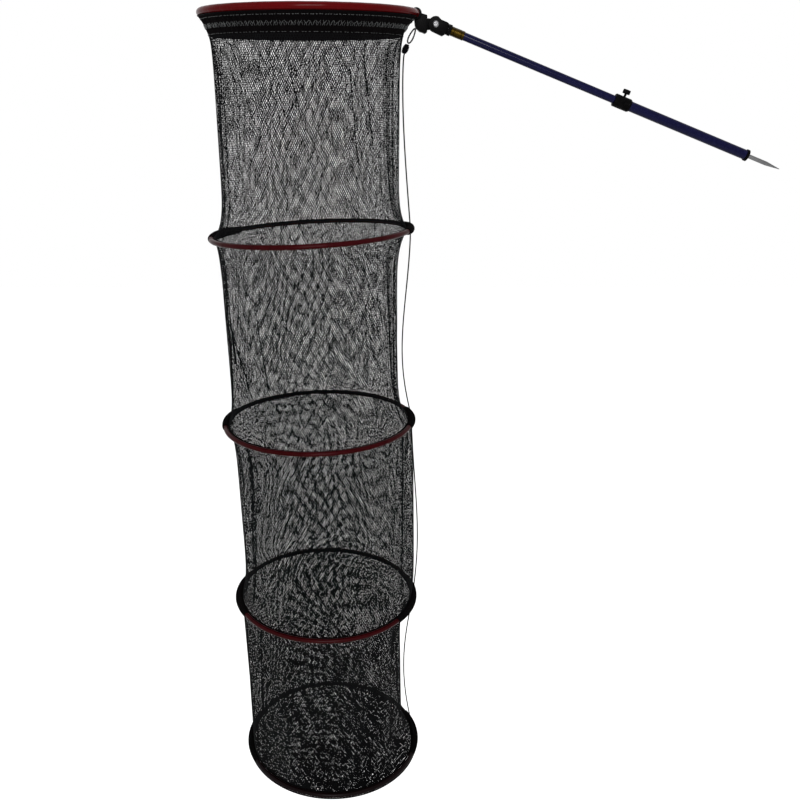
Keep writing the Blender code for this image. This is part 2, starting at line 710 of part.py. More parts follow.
def make_lower_stick():
    """The clamp with its screw hole, the lower tube, its end plug and the spike."""
    grip = UPPER_TUBE / 2 + GAP
    holder = LOWER_TUBE / 2 + GAP
    outer = CLAMP_DIAMETER / 2
    clamp_end = CLAMP_TOP + CLAMP_LENGTH
    clamp_profile = [
        (holder + CLAMP_LIP / 2, clamp_end),
        (outer, clamp_end - CLAMP_LIP),
        (outer, CLAMP_TOP + CLAMP_LIP),
        (outer - CLAMP_LIP / 2, CLAMP_TOP),
        (grip, CLAMP_TOP),
        (grip, LOWER_TOP - GAP),
        (holder, LOWER_TOP - GAP),
        (holder, clamp_end),
    ]
    clamp = turned("stick_clamp", clamp_profile)
    hole = cylinder("thumb_hole", THUMB_THREAD + 2 * GAP, outer, SMALL_STEPS, collection="cutters")
    clamp = combine(clamp, move(hole, thumb_place(grip)), "DIFFERENCE")
    adopt(clamp, STICK_EMPTY, "black_moulding")
    tube_length = STICK_LENGTH - PLUG_FLANGE_THICKNESS - GAP - LOWER_TOP
    profile = pipe_profile(LOWER_TUBE, LOWER_TUBE - 2 * LOWER_WALL, LOWER_TOP, tube_length)
    lower = turned("lower_tube", profile)
    slot = cylinder("slot", THUMB_THREAD + 2 * GAP, outer, SMALL_STEPS, collection="cutters")
    lower = combine(lower, move(slot, thumb_place(grip)), "DIFFERENCE")
    adopt(lower, STICK_EMPTY, "blue_tube")
    stem = LOWER_TUBE / 2 - LOWER_WALL - GAP
    flange = PLUG_FLANGE / 2
    hold = SPIKE / 2 + GAP
    shoulder = STICK_LENGTH - PLUG_FLANGE_THICKNESS
    plug_profile = [
        (flange, STICK_LENGTH),
        (flange, shoulder),
        (stem, shoulder),
        (stem, shoulder - PLUG_DEPTH),
        (0.0, shoulder - PLUG_DEPTH),
        (0.0, STICK_LENGTH - SPIKE_SEAT - GAP),
        (hold, STICK_LENGTH - SPIKE_SEAT - GAP),
        (hold, STICK_LENGTH),
    ]
    adopt(turned("end_plug", plug_profile), STICK_EMPTY, "black_moulding")
    straight = STICK_LENGTH + SPIKE_STRAIGHT
    spike_profile = [
        (SPIKE_TIP / 2, straight + SPIKE_POINT),
        (SPIKE / 2, straight),
        (SPIKE / 2, STICK_LENGTH - SPIKE_SEAT),
        (0.0, STICK_LENGTH - SPIKE_SEAT),
        (0.0, straight + SPIKE_POINT),
    ]
    return adopt(turned("bank_spike", spike_profile, SMALL_STEPS), STICK_EMPTY, "bright_steel")


def thumb_place(distance):
    """Turns a piece built along +Z to point away from the stick, square to it, from a distance out."""
    at = Matrix.Translation((0.0, 0.0, CLAMP_TOP + THUMB_PLACE))
    out = Matrix.Rotation(math.radians(-90.0), 4, "Y")
    return at @ out @ Matrix.Translation((0.0, 0.0, distance))


def make_thumb_screw():
    """The thumb screw in the clamp, with its round head."""
    tip = UPPER_TUBE / 2 + GAP
    neck = CLAMP_DIAMETER / 2 + THUMB_STEM
    screw = cylinder("thumb_screw", THUMB_THREAD, neck - tip + OVERRUN, SMALL_STEPS)
    knob = cylinder("knob", THUMB_HEAD, THUMB_HEAD_LENGTH, TURNED_STEPS, THUMB_HEAD_END, "cutters")
    screw = combine(screw, move(knob, Matrix.Translation((0.0, 0.0, neck - tip))), "UNION")
    return adopt(move(screw, thumb_place(tip)), STICK_EMPTY, "black_moulding")


def ring_end(index, side):
    """The world point just above (side 1) or below (side -1) a ring's right-hand end."""
    return RING_FRAMES[index] @ Vector((RING_RADIUS, 0.0, side * (RING_TUBE / 2 + GAP)))


def cord_run(index, start, stop):
    """A hanging run of the side cord down one section, bowed to the left or right."""
    count = max(2, round((stop - start).length / CORD_STEP))
    points = []
    for step in range(count + 1):
        share = step / count
        bow = CORD_BOWS[index] * math.sin(math.pi * share ** CORD_BOW_TURNS[index])
        points.append(start.lerp(stop, share) + Vector((bow, 0.0, 0.0)))
    return adopt(tube(f"side_cord_{index + 1}", points, CORD, resolution=1), None, "cord")


def make_side_cord():
    """The slanting loop under the block, the knot that ties it and a run of cord down each section."""
    x_share, z_share = LOOP_PLACE_SHARES
    lean = math.radians(LOOP_LEAN)
    exit_at = Matrix.Translation((RING_RADIUS + BLOCK_REACH * x_share, 0.0, BLOCK_FOOT * z_share))
    slant = exit_at @ Matrix.Rotation(lean, 4, "Y")
    top = CORD / 2 + LOOP_STAND
    points = []
    for step in range(LOOP_POINTS):
        angle = FULL_TURN * step / LOOP_POINTS
        across = LOOP_WIDTH / 2 * math.sin(angle) * (1.0 - LOOP_TAPER_SHARE * math.cos(angle))
        down = top + LOOP_HEIGHT / 2 * (1.0 - math.cos(angle))
        points.append(slant @ Vector((across, 0.0, -down)))
    adopt(tube("cord_loop", points, CORD, resolution=1, closed=True), HOOP_EMPTY, "cord")
    half, tall = KNOT / 2, KNOT_HEIGHT / 2
    place = slant @ Matrix.Translation((0.0, 0.0, -top - LOOP_HEIGHT - CORD / 2 - GAP - tall))
    knot = bmesh.new()
    swell = Matrix.Diagonal((half, half, tall, 1.0))
    bmesh.ops.create_uvsphere(knot, u_segments=KNOT_SIDES, v_segments=KNOT_BANDS, radius=1.0, matrix=swell)
    data = bpy.data.meshes.new("cord_knot")
    knot.to_mesh(data)
    knot.free()
    adopt(link("cord_knot", data), HOOP_EMPTY, "cord", place)
    low = math.hypot(half * math.sin(lean), tall * math.cos(lean))
    aside = (tall * tall - half * half) * math.sin(lean) * math.cos(lean) / low
    foot = place.translation - Vector((aside, 0.0, low + GAP))
    cord_run(0, HOOP_FRAME @ foot, ring_end(0, 1))
    for index in range(1, len(RING_NAMES)):
        cord_run(index, ring_end(index - 1, -1), ring_end(index, 1))


def main():
    """Builds every piece."""
    make_top_hoop()
    make_hoop_pins(make_hoop_block())
    make_collar()
    for index in range(len(RING_NAMES)):
        make_ring(index)
        make_net_section(index)
    make_base_net()
    make_tilt_fork()
    make_pivot()
    make_stud_and_nut()
    make_upper_stick()
    make_lower_stick()
    make_thumb_screw()
    make_side_cord()


main()
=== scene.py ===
"""The keep net dressed for its photograph: real netting, sleeved rings, a tilting head and a bank stick.

Metres, +Z up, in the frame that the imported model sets. The netting hangs at -X and the photograph looks
along +Y. What is on the hoop is built in the hoop's frame, whose origin is the hoop's centre, and what is
on the stick in the stick's frame, whose origin is the pivot and whose +Z runs down the stick.
"""

import math

import bmesh
import bpy
import numpy as np
from mathutils import Matrix, Vector


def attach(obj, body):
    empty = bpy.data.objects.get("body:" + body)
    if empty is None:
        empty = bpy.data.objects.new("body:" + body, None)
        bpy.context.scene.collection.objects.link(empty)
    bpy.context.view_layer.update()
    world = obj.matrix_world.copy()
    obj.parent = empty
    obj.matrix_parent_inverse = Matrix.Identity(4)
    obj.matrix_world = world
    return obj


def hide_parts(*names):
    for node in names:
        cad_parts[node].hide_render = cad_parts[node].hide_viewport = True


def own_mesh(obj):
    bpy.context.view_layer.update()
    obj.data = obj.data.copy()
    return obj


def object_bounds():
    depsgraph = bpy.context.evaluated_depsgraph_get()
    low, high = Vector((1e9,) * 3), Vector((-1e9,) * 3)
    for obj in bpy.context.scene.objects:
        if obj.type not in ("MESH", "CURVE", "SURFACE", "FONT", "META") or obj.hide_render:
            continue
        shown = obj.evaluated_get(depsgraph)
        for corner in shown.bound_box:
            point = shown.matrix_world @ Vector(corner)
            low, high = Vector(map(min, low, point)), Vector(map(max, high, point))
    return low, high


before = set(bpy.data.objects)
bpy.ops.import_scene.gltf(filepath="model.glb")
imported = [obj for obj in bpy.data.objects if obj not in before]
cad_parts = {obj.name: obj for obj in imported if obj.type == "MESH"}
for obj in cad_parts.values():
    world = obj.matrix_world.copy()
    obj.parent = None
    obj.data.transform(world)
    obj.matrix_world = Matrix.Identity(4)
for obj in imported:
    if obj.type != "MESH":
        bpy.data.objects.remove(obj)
CAD_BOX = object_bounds()

# Hoop and rings
RING_RADIUS = 0.200
HOOP_TUBE = 0.0145
HOOP_LEAN = 2.4
HOOP_END_ANGLE = 2.0
RING_TUBE = 0.0100
RING_END_GAP = 0.0012
RING_JOINT_ANGLE = 97.0
NET_DEPTH = 1.636
RING_DEPTH_SHARES = (0.248, 0.494, 0.753, 1.0)
RING_TILTS = (2.5, 0.4, -2.0, -2.9)
RING_SHIFTS = (-0.009, -0.005, 0.0, 0.006)
RING_BODIES = ("ring_2", "ring_3", "ring_4", "base_ring")
GAP = 0.0003
SHARP_ANGLE = 38.0
BEVEL_ANGLE = 30.0
WELD = 1e-6
SOFTENED_SHARE = 0.45
SURFACE_STEP = 0.002
HOOP_STEPS = 220
RING_STEPS = 180
SLEEVE_SIDES = 20
SLEEVE_RIPPLE = 0.00010
RIPPLE_COUNTS = (23, 61)

# Netting
NET_DRAWS = (0.022, 0.018, 0.0050, 0.0140)
NET_SHIFTS = (-0.0015, -0.0085, 0.0095, -0.0140)
FOLD_COUNTS = (10, 6)
FOLD_DEPTHS = (0.0070, 0.0045)
FOLD_TURNS = (0.0, 2.51, 3.77, 1.26)
FOLD_DRIFT = 0.25
EDGE_POWER = 6
CREASE_COUNT = 21
CREASE_STEP = 2.399963
CREASE_DEPTH = 0.0035
CREASE_WIDTH = 0.030
CREASE_DRIFT = 0.22
CREASE_SIDE_SHARES = (0.35, 0.65)
CREASE_FADE_SHARES = (0.6, 0.4)
CELLS_ROUND = 250
CELL_HEIGHT = 0.0082
# Share of each section's cells that its strands cover. The real mesh is even; the cover grows down the bag as
# painted shade, standing in for the darker ground seen through the lower netting
STRAND_COVERS_WITH_SHADE = (0.365, 0.413, 0.484, 0.578)
STRAND_DEPTH = 0.0004
STRAY_SHARE = 0.36
# Numbers that a crossing's column and row are multiplied by, so that it strays the same way each time
SWIRLS = ((12.9898, 78.233, 43758.5453), (39.346, 11.135, 24634.6345))
INNER_SHARES = (0.003, 0.997)
PLEAT_PITCH = 0.0016
PLEAT_STRAND = 0.0015
PLEAT_STEPS = 40
PLEAT_WOBBLE = 0.008
PLEAT_SPREAD_SHARES = (0.65, 0.35)
# Gathered pleats: section, share down it and degrees round it at the top and at the foot, width
PLEATS = (
    (0, 0.02, 216, 0.98, 214, 0.0050),
    (0, 0.04, 226, 0.30, 238, 0.0032),
    (0, 0.10, 221, 0.26, 230, 0.0032),
    (0, 0.15, 265, 0.34, 271, 0.0032),
    (0, 0.16, 301, 0.62, 308, 0.0032),
    (0, 0.04, 311, 0.55, 318, 0.0032),
    (0, 0.02, 332, 0.98, 342, 0.0048),
    (0, 0.02, 345, 0.98, 344, 0.0050),
    (1, 0.02, 213, 0.60, 217, 0.0096),
    (1, 0.38, 214, 0.88, 236, 0.0064),
    (1, 0.45, 214, 0.98, 208, 0.0080),
    (1, 0.30, 240, 0.70, 246, 0.0032),
    (1, 0.02, 349, 0.98, 344, 0.0096),
    (1, 0.72, 337, 0.98, 333, 0.0032),
    (2, 0.02, 224, 0.98, 214, 0.0144),
    (2, 0.02, 196, 0.75, 199, 0.0048),
    (2, 0.02, 229, 0.40, 225, 0.0032),
    (2, 0.02, 338, 0.98, 334, 0.0128),
    (2, 0.10, 328, 0.62, 318, 0.0032),
    (3, 0.02, 205, 0.98, 205, 0.0048),
    (3, 0.08, 226, 0.98, 219, 0.0080),
    (3, 0.22, 230, 0.48, 243, 0.0032),
    (3, 0.47, 243, 0.75, 240, 0.0032),
    (3, 0.16, 246, 0.31, 254, 0.0032),
    (3, 0.30, 254, 0.80, 247, 0.0032),
    (3, 0.02, 346, 0.85, 329, 0.0176),
)

# Collar
COLLAR_HEIGHT = 0.040
COLLAR_SHIFT = 0.006
COLLAR_FOOT_RADIUS = 0.1815
COLLAR_TOP_OUT = 0.0062
COLLAR_RISE = 0.0060
COLLAR_CURVE = 0.72
COLLAR_SPREAD = 0.16
COLLAR_DIP = 0.0160
COLLAR_TUCK = 0.0070
COLLAR_WALL = 0.0018
RUFFLE_COUNTS = (83, 37)
RUFFLE_DEPTHS = (0.0010, 0.0012)
LINING_STEPS = 720
LINING_LEVELS = 16
COLLAR_CELLS = 330
COLLAR_CELL_HEIGHT = 0.0055
COLLAR_COVER = 0.52
COLLAR_LIFT = 0.0011
COLLAR_NET_SHARES = (0.05, 0.94)
FOOT_STRAND = 0.0009
FOOT_TURNS = 60
FOOT_COVER_SHARE = 0.8
STITCH_STRAY = 0.18
STITCH_STRAY_SHARE = 0.004
# Rows of pale stitches, a painted highlight standing in for light glinting on the gathered net: share down
# the collar, number, length, slant as a share and thread
COLLAR_GLINT_ROWS = (
    (0.17, 250, 0.0024, 0.000, 0.00070),
    (0.50, 230, 0.0026, 0.050, 0.00060),
    (0.60, 310, 0.0018, 0.070, 0.00050),
    (0.95, 170, 0.0034, 0.000, 0.00050),
)

# Hems and ties
HEM_STRANDS = 5
HEM_RADIUS = 0.0016
HEM_BUNDLE = 0.0012
HEM_TURNS = 34
HEM_STEPS_PER_TURN = 9
HEM_STRAY = 0.8
HEM_COVER_SHARE = 0.62
LASH_COUNT = 18
LASH_CORD = 0.0006
LASH_POINTS = 14
LASH_STRAY = 0.3
LASH_SLANT = 0.010
LASH_INWARD_SHARE = 1.6
# Wound ties of each ring: the angle of each tie's middle in degrees, and its length
TIES = (
    ((3.0, 0.120), (167.0, 0.150)),
    ((3.0, 0.120), (177.0, 0.110)),
    ((-6.0, 0.200), (188.0, 0.175)),
    ((6.0, 0.155), (185.0, 0.175)),
)
TIE_PITCH = 0.0022
TIE_STRAND = 0.0011
TIE_SWELL = 0.0022
TIE_COVER_SHARE = 0.7
TIE_POINTS = 14
BASE_HEM_RADIUS = 0.0012
BASE_HEM_STRANDS = 4
BASE_HEM_TURNS = 46
BASE_HEM_OUT_SHARE = 0.6
BASE_HEM_DOWN_SHARE = 0.8
BASE_HEM_COVER_SHARE = 0.7

# Base netting
BASE_SAG = 0.006
BASE_STRAND_STEP = 0.008
# The base's strands cover more of each cell than the side netting's: painted shade, darkening the base as the
# shaded ground seen through it
BASE_COVER_WITH_SHADE = 0.66
BASE_STRAY = 0.0013
BASE_SEAM = 0.0013
RUCK_DEPTHS = (0.0012, 0.0010)
# Seams across the base, as shares of its radius: right and back of its middle at each end
BASE_SEAMS = (
    ((-0.64, 0.53), (-0.21, -0.38)),
    ((-0.70, 0.51), (-0.33, -0.26)),
    ((0.55, 0.78), (0.36, 0.00)),
    ((0.36, 0.00), (0.26, -0.27)),
    ((0.67, 0.64), (0.36, -0.33)),
    ((-0.86, 0.05), (-0.75, -0.60)),
)

# Side cord
CORD = 0.0030
CORD_BOWS = (-0.0060, -0.0190, 0.0112, -0.0240)
CORD_BOW_TURNS = (0.7, 1.5, 1.5, 1.0)
CORD_LAY = 0.011
CORD_STEPS_PER_LAY = 7
CORD_TO_STRAND = 4.3
LOOP_PLACE_SHARES = (-0.03, -0.735)
LOOP_LEAN = 27.0
LOOP_STAND = 0.0007
LOOP_WIDTH = 0.0080
LOOP_HEIGHT = 0.0280
LOOP_TAPER_SHARE = 0.25
KNOT = 0.0130
KNOT_HEIGHT = 0.0200
KNOT_WRAPS = 6
KNOT_TAPER_SHARE = 0.80
KNOT_CORD_SHARE = 0.46
KNOT_CORE_SHARES = ((0.0, 0.85), (0.45, 0.70), (0.66, 0.30))

# Hoop block and tilt head
BARREL = 0.0205
BARREL_LENGTH = 0.042
BLOCK_WIDTH = 0.030
BLOCK_EDGE = 0.0015
BLOCK_OUTLINE_SHARES = (
    (-0.25, 0.16),
    (0.02, 0.33),
    (0.50, 0.01),
    (1.00, -0.08),
    (1.00, -1.00),
    (0.79, -1.08),
    (0.58, -1.01),
    (0.32, -0.97),
    (0.03, -0.80),
    (-0.10, -0.66),
)
TONGUE_WIDTH = 0.009
TONGUE_RADIUS = 0.0110
PIVOT_REACH = 0.0369
PIVOT_Z = -0.0180
STICK_SLOPE = 21.0
EAR_RADIUS = 0.0140
EAR_THICKNESS = 0.0060
EAR_EDGE_SHARE = 0.6
FORK_THROAT = 0.0130
FORK_BACK = 0.0110
FORK_LIP = 0.0150
FORK_LIP_END = 0.0190
NECK_END = 0.0250
NECK_DIAMETER = 0.0200
LOCK_NUT = 0.0205
LOCK_NUT_LENGTH = 0.0060
STUD = 0.0092
SCREW_SHANK = 0.0058
SCREW_HEAD = 0.0122
SCREW_HEAD_HEIGHT = 0.0030
SCREW_EDGE = 0.0006
SCREW_FACE_SHARE = 0.34
SCREW_RIM_SHARE = 0.55
RECESS_LENGTH = 0.0066
RECESS_WIDTH = 0.0014
RECESS_DEPTH = 0.0016
WASHER = 0.0120
WASHER_THICKNESS = 0.0010
PIVOT_BORE = 0.0064
NUT_ACROSS = 0.0118
NUT_HEIGHT = 0.0050
NUT_EDGE = 0.0004
LOCK_NUT_TEETH = 24
TOOTH_DEPTH = 0.0006
TOOTH_EDGE = 0.0003
TOOTH_SHARES = (0.35, 0.5, 0.85)
OVERRUN = 0.002

# Stick
FERRULE = 0.0170
FERRULE_LENGTH = 0.0260
FERRULE_SOCKET = 0.0120
FERRULE_GROOVE = 0.0005
GROOVE_SHARES = (0.22, 0.78)
TUBE_EDGE = 0.0003
TURNED_EDGE = 0.0004
UPPER_TUBE = 0.0150
UPPER_WALL = 0.0010
UPPER_TAIL = 0.4500
LOWER_TUBE = 0.0190
LOWER_WALL = 0.0010
TUBE_LAP = 0.0680
CLAMP_SHOULDER = 0.0100
CLAMP_DIAMETER = 0.0245
CLAMP_LENGTH = 0.0340
CLAMP_LIP = 0.0012
CLAMP_RIBS = 5
CLAMP_RIB_PLACE = 0.0140
CLAMP_RIB_PITCH = 0.0022
CLAMP_RIB = 0.0007
RIB_DEPTH = 0.0005
PLUG_FLANGE = 0.0225
PLUG_FLANGE_THICKNESS = 0.0050
PLUG_DEPTH = 0.0200
STICK_LENGTH = 0.6650
SPIKE = 0.0080
SPIKE_SEAT = 0.0150
SPIKE_STRAIGHT = 0.0420
SPIKE_POINT = 0.0300
SPIKE_TIP = 0.0012
SPIKE_EDGE = 0.0010
THUMB_THREAD = 0.0048
THUMB_HEAD = 0.0150
THUMB_HEAD_LENGTH = 0.0080
THUMB_STEM = 0.0050
THUMB_STEPS = 96
THUMB_SCALLOPS = 8
THUMB_SCALLOP = 0.0007
THUMB_EDGE = 0.0009
THUMB_PLACE = 0.0170

# Camera, floor and light
CAMERA_OFFSET = (0.170, -1.745, -0.182)
CAMERA_PITCH = 18.4
CAMERA_LENS = 38.385
FLOOR_DROP = 0.22
FLOOR_SIZE = 14.0
FLOOR_TONE = (0.80, 0.80, 0.80, 1.0)
FLOOR_GLOW = 0.91
WHITE = (1.0, 1.0, 1.0, 1.0)
WORLD_LEVEL = 0.17
LAMP_TARGET = (0.1, 0.0, -0.5)
# Lamps: place from their target, size and power
LAMPS = {
    "front_light": ((0.2, -2.9, 1.1), 1.2, 75.0),
    "left_light": ((-2.4, -1.4, 0.9), 1.6, 6.0),
    "top_light": ((0.4, 0.6, 2.6), 2.0, 15.0),
}

# Shaders
MOTTLE_INPUTS = ("Color", "Light Color", "Patch Scale", "Grain Scale", "Amount")
MOTTLE_LIMITS = (0.12, 0.42)
WEAR_INPUTS = ("Color", "Worn Color", "Roughness", "Scuff Scale", "Amount")
EDGE_LIMITS = (0.51, 0.60)
SCUFF_LIMITS = (0.45, 0.75)
SCUFF_SHARE = 0.12
DULLED_SHARE = 0.4
# Bumps: strength and depth
SLEEVE_BUMP = (0.10, 0.0004)
YARN_BUMP = (0.35, 0.0003)
METAL_BUMP = (0.08, 0.0002)
NYLON_BUMP = (0.25, 0.0002)
WEAVE_BUMP = (0.4, 0.0004)
ENAMEL_BUMP = (0.05, 0.0002)

STICK_TURN = math.radians(90.0 + STICK_SLOPE)
STICK_ALONG = Vector((math.sin(STICK_TURN), 0.0, math.cos(STICK_TURN)))
PIVOT_X = RING_RADIUS + PIVOT_REACH
PIVOT = Vector((PIVOT_X, 0.0, PIVOT_Z))
LEAN = Matrix.Rotation(math.radians(HOOP_LEAN), 4, "X")
HOOP_CENTRE = -(LEAN @ (PIVOT + STICK_ALONG * STICK_LENGTH))
HOOP_FRAME = Matrix.Translation(HOOP_CENTRE) @ LEAN
STICK_FRAME = HOOP_FRAME @ Matrix.Translation(PIVOT) @ Matrix.Rotation(STICK_TURN, 4, "Y")
BLOCK_REACH = PIVOT_REACH - EAR_RADIUS - OVERRUN
BLOCK_FOOT = EAR_RADIUS - PIVOT_Z
RING_BORE = RING_RADIUS - RING_TUBE / 2 - GAP
LOWER_TOP = UPPER_TAIL - TUBE_LAP
CLAMP_TOP = LOWER_TOP - CLAMP_SHOULDER
EAR_INNER = TONGUE_WIDTH / 2 + GAP
EAR_OUTER = EAR_INNER + EAR_THICKNESS
FERRULE_TOP = NECK_END + LOCK_NUT_LENGTH + 2 * GAP
FERRULE_END = FERRULE_TOP + FERRULE_LENGTH
FULL_TURN = 2 * math.pi


def ring_frame(index):
    """Where ring number index hangs: below the hoop, shifted and tilted as it settles."""
    drop = Vector((RING_SHIFTS[index], 0.0, -NET_DEPTH * RING_DEPTH_SHARES[index]))
    turn = Matrix.Rotation(-math.radians(RING_TILTS[index]), 4, "Y")
    return Matrix.Translation(HOOP_CENTRE + drop) @ turn


RING_FRAMES = [ring_frame(index) for index in range(len(RING_BODIES))]


def put(tree, kind, feeds=(), **settings):
    """Adds a node. Feeds are values or sockets for its inputs, and settings its own properties."""
    node = tree.nodes.new(kind)
    for name, value in settings.items():
        setattr(node, name, value)
    for name, value in dict(feeds).items():
        if isinstance(value, bpy.types.NodeSocket):
            tree.links.new(value, node.inputs[name])
        else:
            node.inputs[name].default_value = value
    return node


def maths(tree, operation, *values, clamp=False):
    """The output of a math node over values or sockets."""
    feeds = dict(enumerate(values))
    return put(tree, "ShaderNodeMath", feeds, operation=operation, use_clamp=clamp).outputs[0]


def noise(tree, scale, detail):
    """The output of a noise texture in the piece's own coordinates."""
    place = put(tree, "ShaderNodeTexCoord").outputs["Object"]
    return put(tree, "ShaderNodeTexNoise", {"Vector": place, "Scale": scale, "Detail": detail}).outputs["Fac"]


def ranged(tree, value, limits):
    """The output of a map that takes the limits to 0 and 1."""
    feeds = {"Value": value, "From Min": limits[0], "From Max": limits[1]}
    return put(tree, "ShaderNodeMapRange", feeds).outputs["Result"]


def mixed(tree, share, colour, other):
    """The output of a mix of two colours."""
    return put(tree, "ShaderNodeMix", {"Factor": share, 6: colour, 7: other}, data_type="RGBA").outputs[2]


def new_group(name, inputs, outputs):
    """An empty shader group with the named sockets. Those whose name ends in Color are colours."""
    tree = bpy.data.node_groups.new(name, "ShaderNodeTree")
    for names, side in ((inputs, "INPUT"), (outputs, "OUTPUT")):
        for socket in names:
            kind = "NodeSocketColor" if socket.endswith("Color") else "NodeSocketFloat"
            tree.interface.new_socket(name=socket, in_out=side, socket_type=kind)
    return tree, tree.nodes.new("NodeGroupInput").outputs, tree.nodes.new("NodeGroupOutput").inputs


def make_mottle_group():
    """Slow and fine changes of tone over a surface, and a height for its fine grain."""
    tree, given, out = new_group("mottle", MOTTLE_INPUTS, ("Color", "Height"))
    grain = noise(tree, given["Grain Scale"], 2.0)
    both = maths(tree, "MULTIPLY", noise(tree, given["Patch Scale"], 4.0), grain)
    share = maths(tree, "MULTIPLY", ranged(tree, both, MOTTLE_LIMITS), given["Amount"])
    tree.links.new(mixed(tree, share, given["Color"], given["Light Color"]), out["Color"])
    tree.links.new(grain, out["Height"])
    return tree


def make_wear_group():
    """Rubbed edges and scuffs: a colour that turns paler there, and a rougher finish."""
    tree, given, out = new_group("wear", WEAR_INPUTS, ("Color", "Roughness"))
    edges = ranged(tree, put(tree, "ShaderNodeNewGeometry").outputs["Pointiness"], EDGE_LIMITS)
    marks = ranged(tree, noise(tree, given["Scuff Scale"], 6.0), SCUFF_LIMITS)
    faint = maths(tree, "MULTIPLY_ADD", marks, SCUFF_SHARE, maths(tree, "MULTIPLY", edges, marks))
    share = maths(tree, "MULTIPLY", faint, given["Amount"], clamp=True)
    dulled = maths(tree, "MULTIPLY_ADD", share, DULLED_SHARE, given["Roughness"], clamp=True)
    tree.links.new(mixed(tree, share, given["Color"], given["Worn Color"]), out["Color"])
    tree.links.new(dulled, out["Roughness"])
    return tree


MOTTLE = make_mottle_group()
WEAR = make_wear_group()


def put_group(tree, group, names, values):
    """A shared group's node, its named inputs fed and its plain colours made opaque."""
    opaque = [(*value, 1.0) if isinstance(value, tuple) else value for value in values]
    return put(tree, "ShaderNodeGroup", zip(names, opaque), node_tree=group)


def make_finish(name, tone, bump, wear=None, relief=None, **fixed):
    """A material: mottled, worn where wear is given, and bumped. The rest goes on its shader as it is.

    Tone is a colour, a lighter one, the scales of patches and grain, and how much of them shows. Wear is a
    worn colour, the roughness, the scale of the scuffs and how much of them shows. Bump is its strength and
    depth, and its height is the grain, or what relief puts in the tree.
    """
    made = bpy.data.materials.new(name)
    made.use_nodes = True
    tree = made.node_tree
    shader = tree.nodes["Principled BSDF"]
    for socket, value in fixed.items():
        shader.inputs[socket.replace("_", " ")].default_value = value
    mottle = put_group(tree, MOTTLE, MOTTLE_INPUTS, tone)
    coloured = mottle
    if wear:
        coloured = put_group(tree, WEAR, WEAR_INPUTS, (mottle.outputs["Color"], *wear))
        tree.links.new(coloured.outputs["Roughness"], shader.inputs["Roughness"])
    tree.links.new(coloured.outputs["Color"], shader.inputs["Base Color"])
    height = relief(tree) if relief else mottle.outputs["Height"]
    feeds = {"Height": height, "Strength": bump[0], "Distance": bump[1]}
    tree.links.new(put(tree, "ShaderNodeBump", feeds).outputs["Normal"], shader.inputs["Normal"])
    return made


def make_sleeve_finish(name, colour, light, roughness):
    """A shrunk plastic sleeve: glossy, a little wrinkled, with slow changes of tone."""
    tone, wear = (colour, light, 22.0, 420.0, 0.55), (light, roughness, 160.0, 0.5)
    gloss = {"Coat_Weight": 0.03, "Coat_Roughness": 0.10, "Specular_IOR_Level": 0.03}
    return make_finish(name, tone, SLEEVE_BUMP, wear, **gloss)


def make_yarn_finish(name, colour, light, grain_scale, roughness):
    """Dyed yarn: a soft, uneven black with the twist of its filaments as bump."""
    tone = (colour, light, 14.0, grain_scale, 0.7)
    return make_finish(name, tone, YARN_BUMP, Roughness=roughness, Specular_IOR_Level=0.02)


def make_metal_finish(name, colour, light, roughness, brush_scale):
    """Turned or brushed metal: fine lines round the piece and a few dull patches."""

    def brushed(tree):
        return noise(tree, brush_scale, 3.0)

    tone, wear = (colour, light, 80.0, 1500.0, 0.6), (light, roughness, 240.0, 0.5)
    return make_finish(name, tone, METAL_BUMP, wear, brushed, Metallic=1.0)


def weave(tree):
    """The height of the collar's fine weave."""
    place = put(tree, "ShaderNodeTexCoord").outputs["Object"]
    feeds = {"Vector": place, "Scale": 420.0, "Distortion": 0.6}
    return put(tree, "ShaderNodeTexWave", feeds, bands_direction="Z").outputs["Fac"]


RED_SLEEVE = make_sleeve_finish("red_shrink_sleeve", (0.076, 0.0008, 0.0012), (0.125, 0.002, 0.004), 0.24)
DARK_SLEEVE = make_sleeve_finish("dark_red_sleeve", (0.026, 0.0008, 0.0014), (0.050, 0.0020, 0.0036), 0.28)
BLACK_SLEEVE = make_sleeve_finish("black_shrink_sleeve", (0.003, 0.001, 0.0012), (0.009, 0.003, 0.0035), 0.36)
NET_YARN = make_yarn_finish("net_yarn", (0.0025, 0.0025, 0.0028), (0.009, 0.010, 0.011), 1400.0, 0.70)
HEM_YARN = make_yarn_finish("hem_yarn", (0.0012, 0.0010, 0.0011), (0.005, 0.004, 0.0045), 1400.0, 0.74)
# Pale grey thread: a painted highlight, standing in for glints of light on the collar's gathered net
GLINT_STITCH_YARN = make_yarn_finish("glint_stitch_yarn", (0.10, 0.105, 0.105), (0.30, 0.31, 0.31), 2200.0, 0.60)
CORD_YARN = make_yarn_finish("cord_braid", (0.0015, 0.0015, 0.0018), (0.006, 0.006, 0.007), 1600.0, 0.72)
STEEL = make_metal_finish("plated_steel", (0.11, 0.11, 0.115), (0.20, 0.20, 0.20), 0.40, 700.0)
BRASS = make_metal_finish("turned_brass", (0.014, 0.0085, 0.0012), (0.042, 0.026, 0.0045), 0.36, 600.0)
# Black moulded nylon with a fine grain and rubbed edges
NYLON = make_finish(
    "black_nylon",
    ((0.0009, 0.0008, 0.0009), (0.0035, 0.0032, 0.0035), 60.0, 2600.0, 0.6),
    NYLON_BUMP,
    ((0.008, 0.008, 0.0085), 0.38, 300.0, 0.8),
    Specular_IOR_Level=0.02,
)
# The collar's tight woven band
COLLAR_CLOTH = make_finish(
    "collar_weave",
    ((0.0012, 0.0009, 0.0010), (0.005, 0.0035, 0.004), 20.0, 900.0, 0.7),
    WEAVE_BUMP,
    relief=weave,
    Roughness=0.75,
    Specular_IOR_Level=0.02,
)
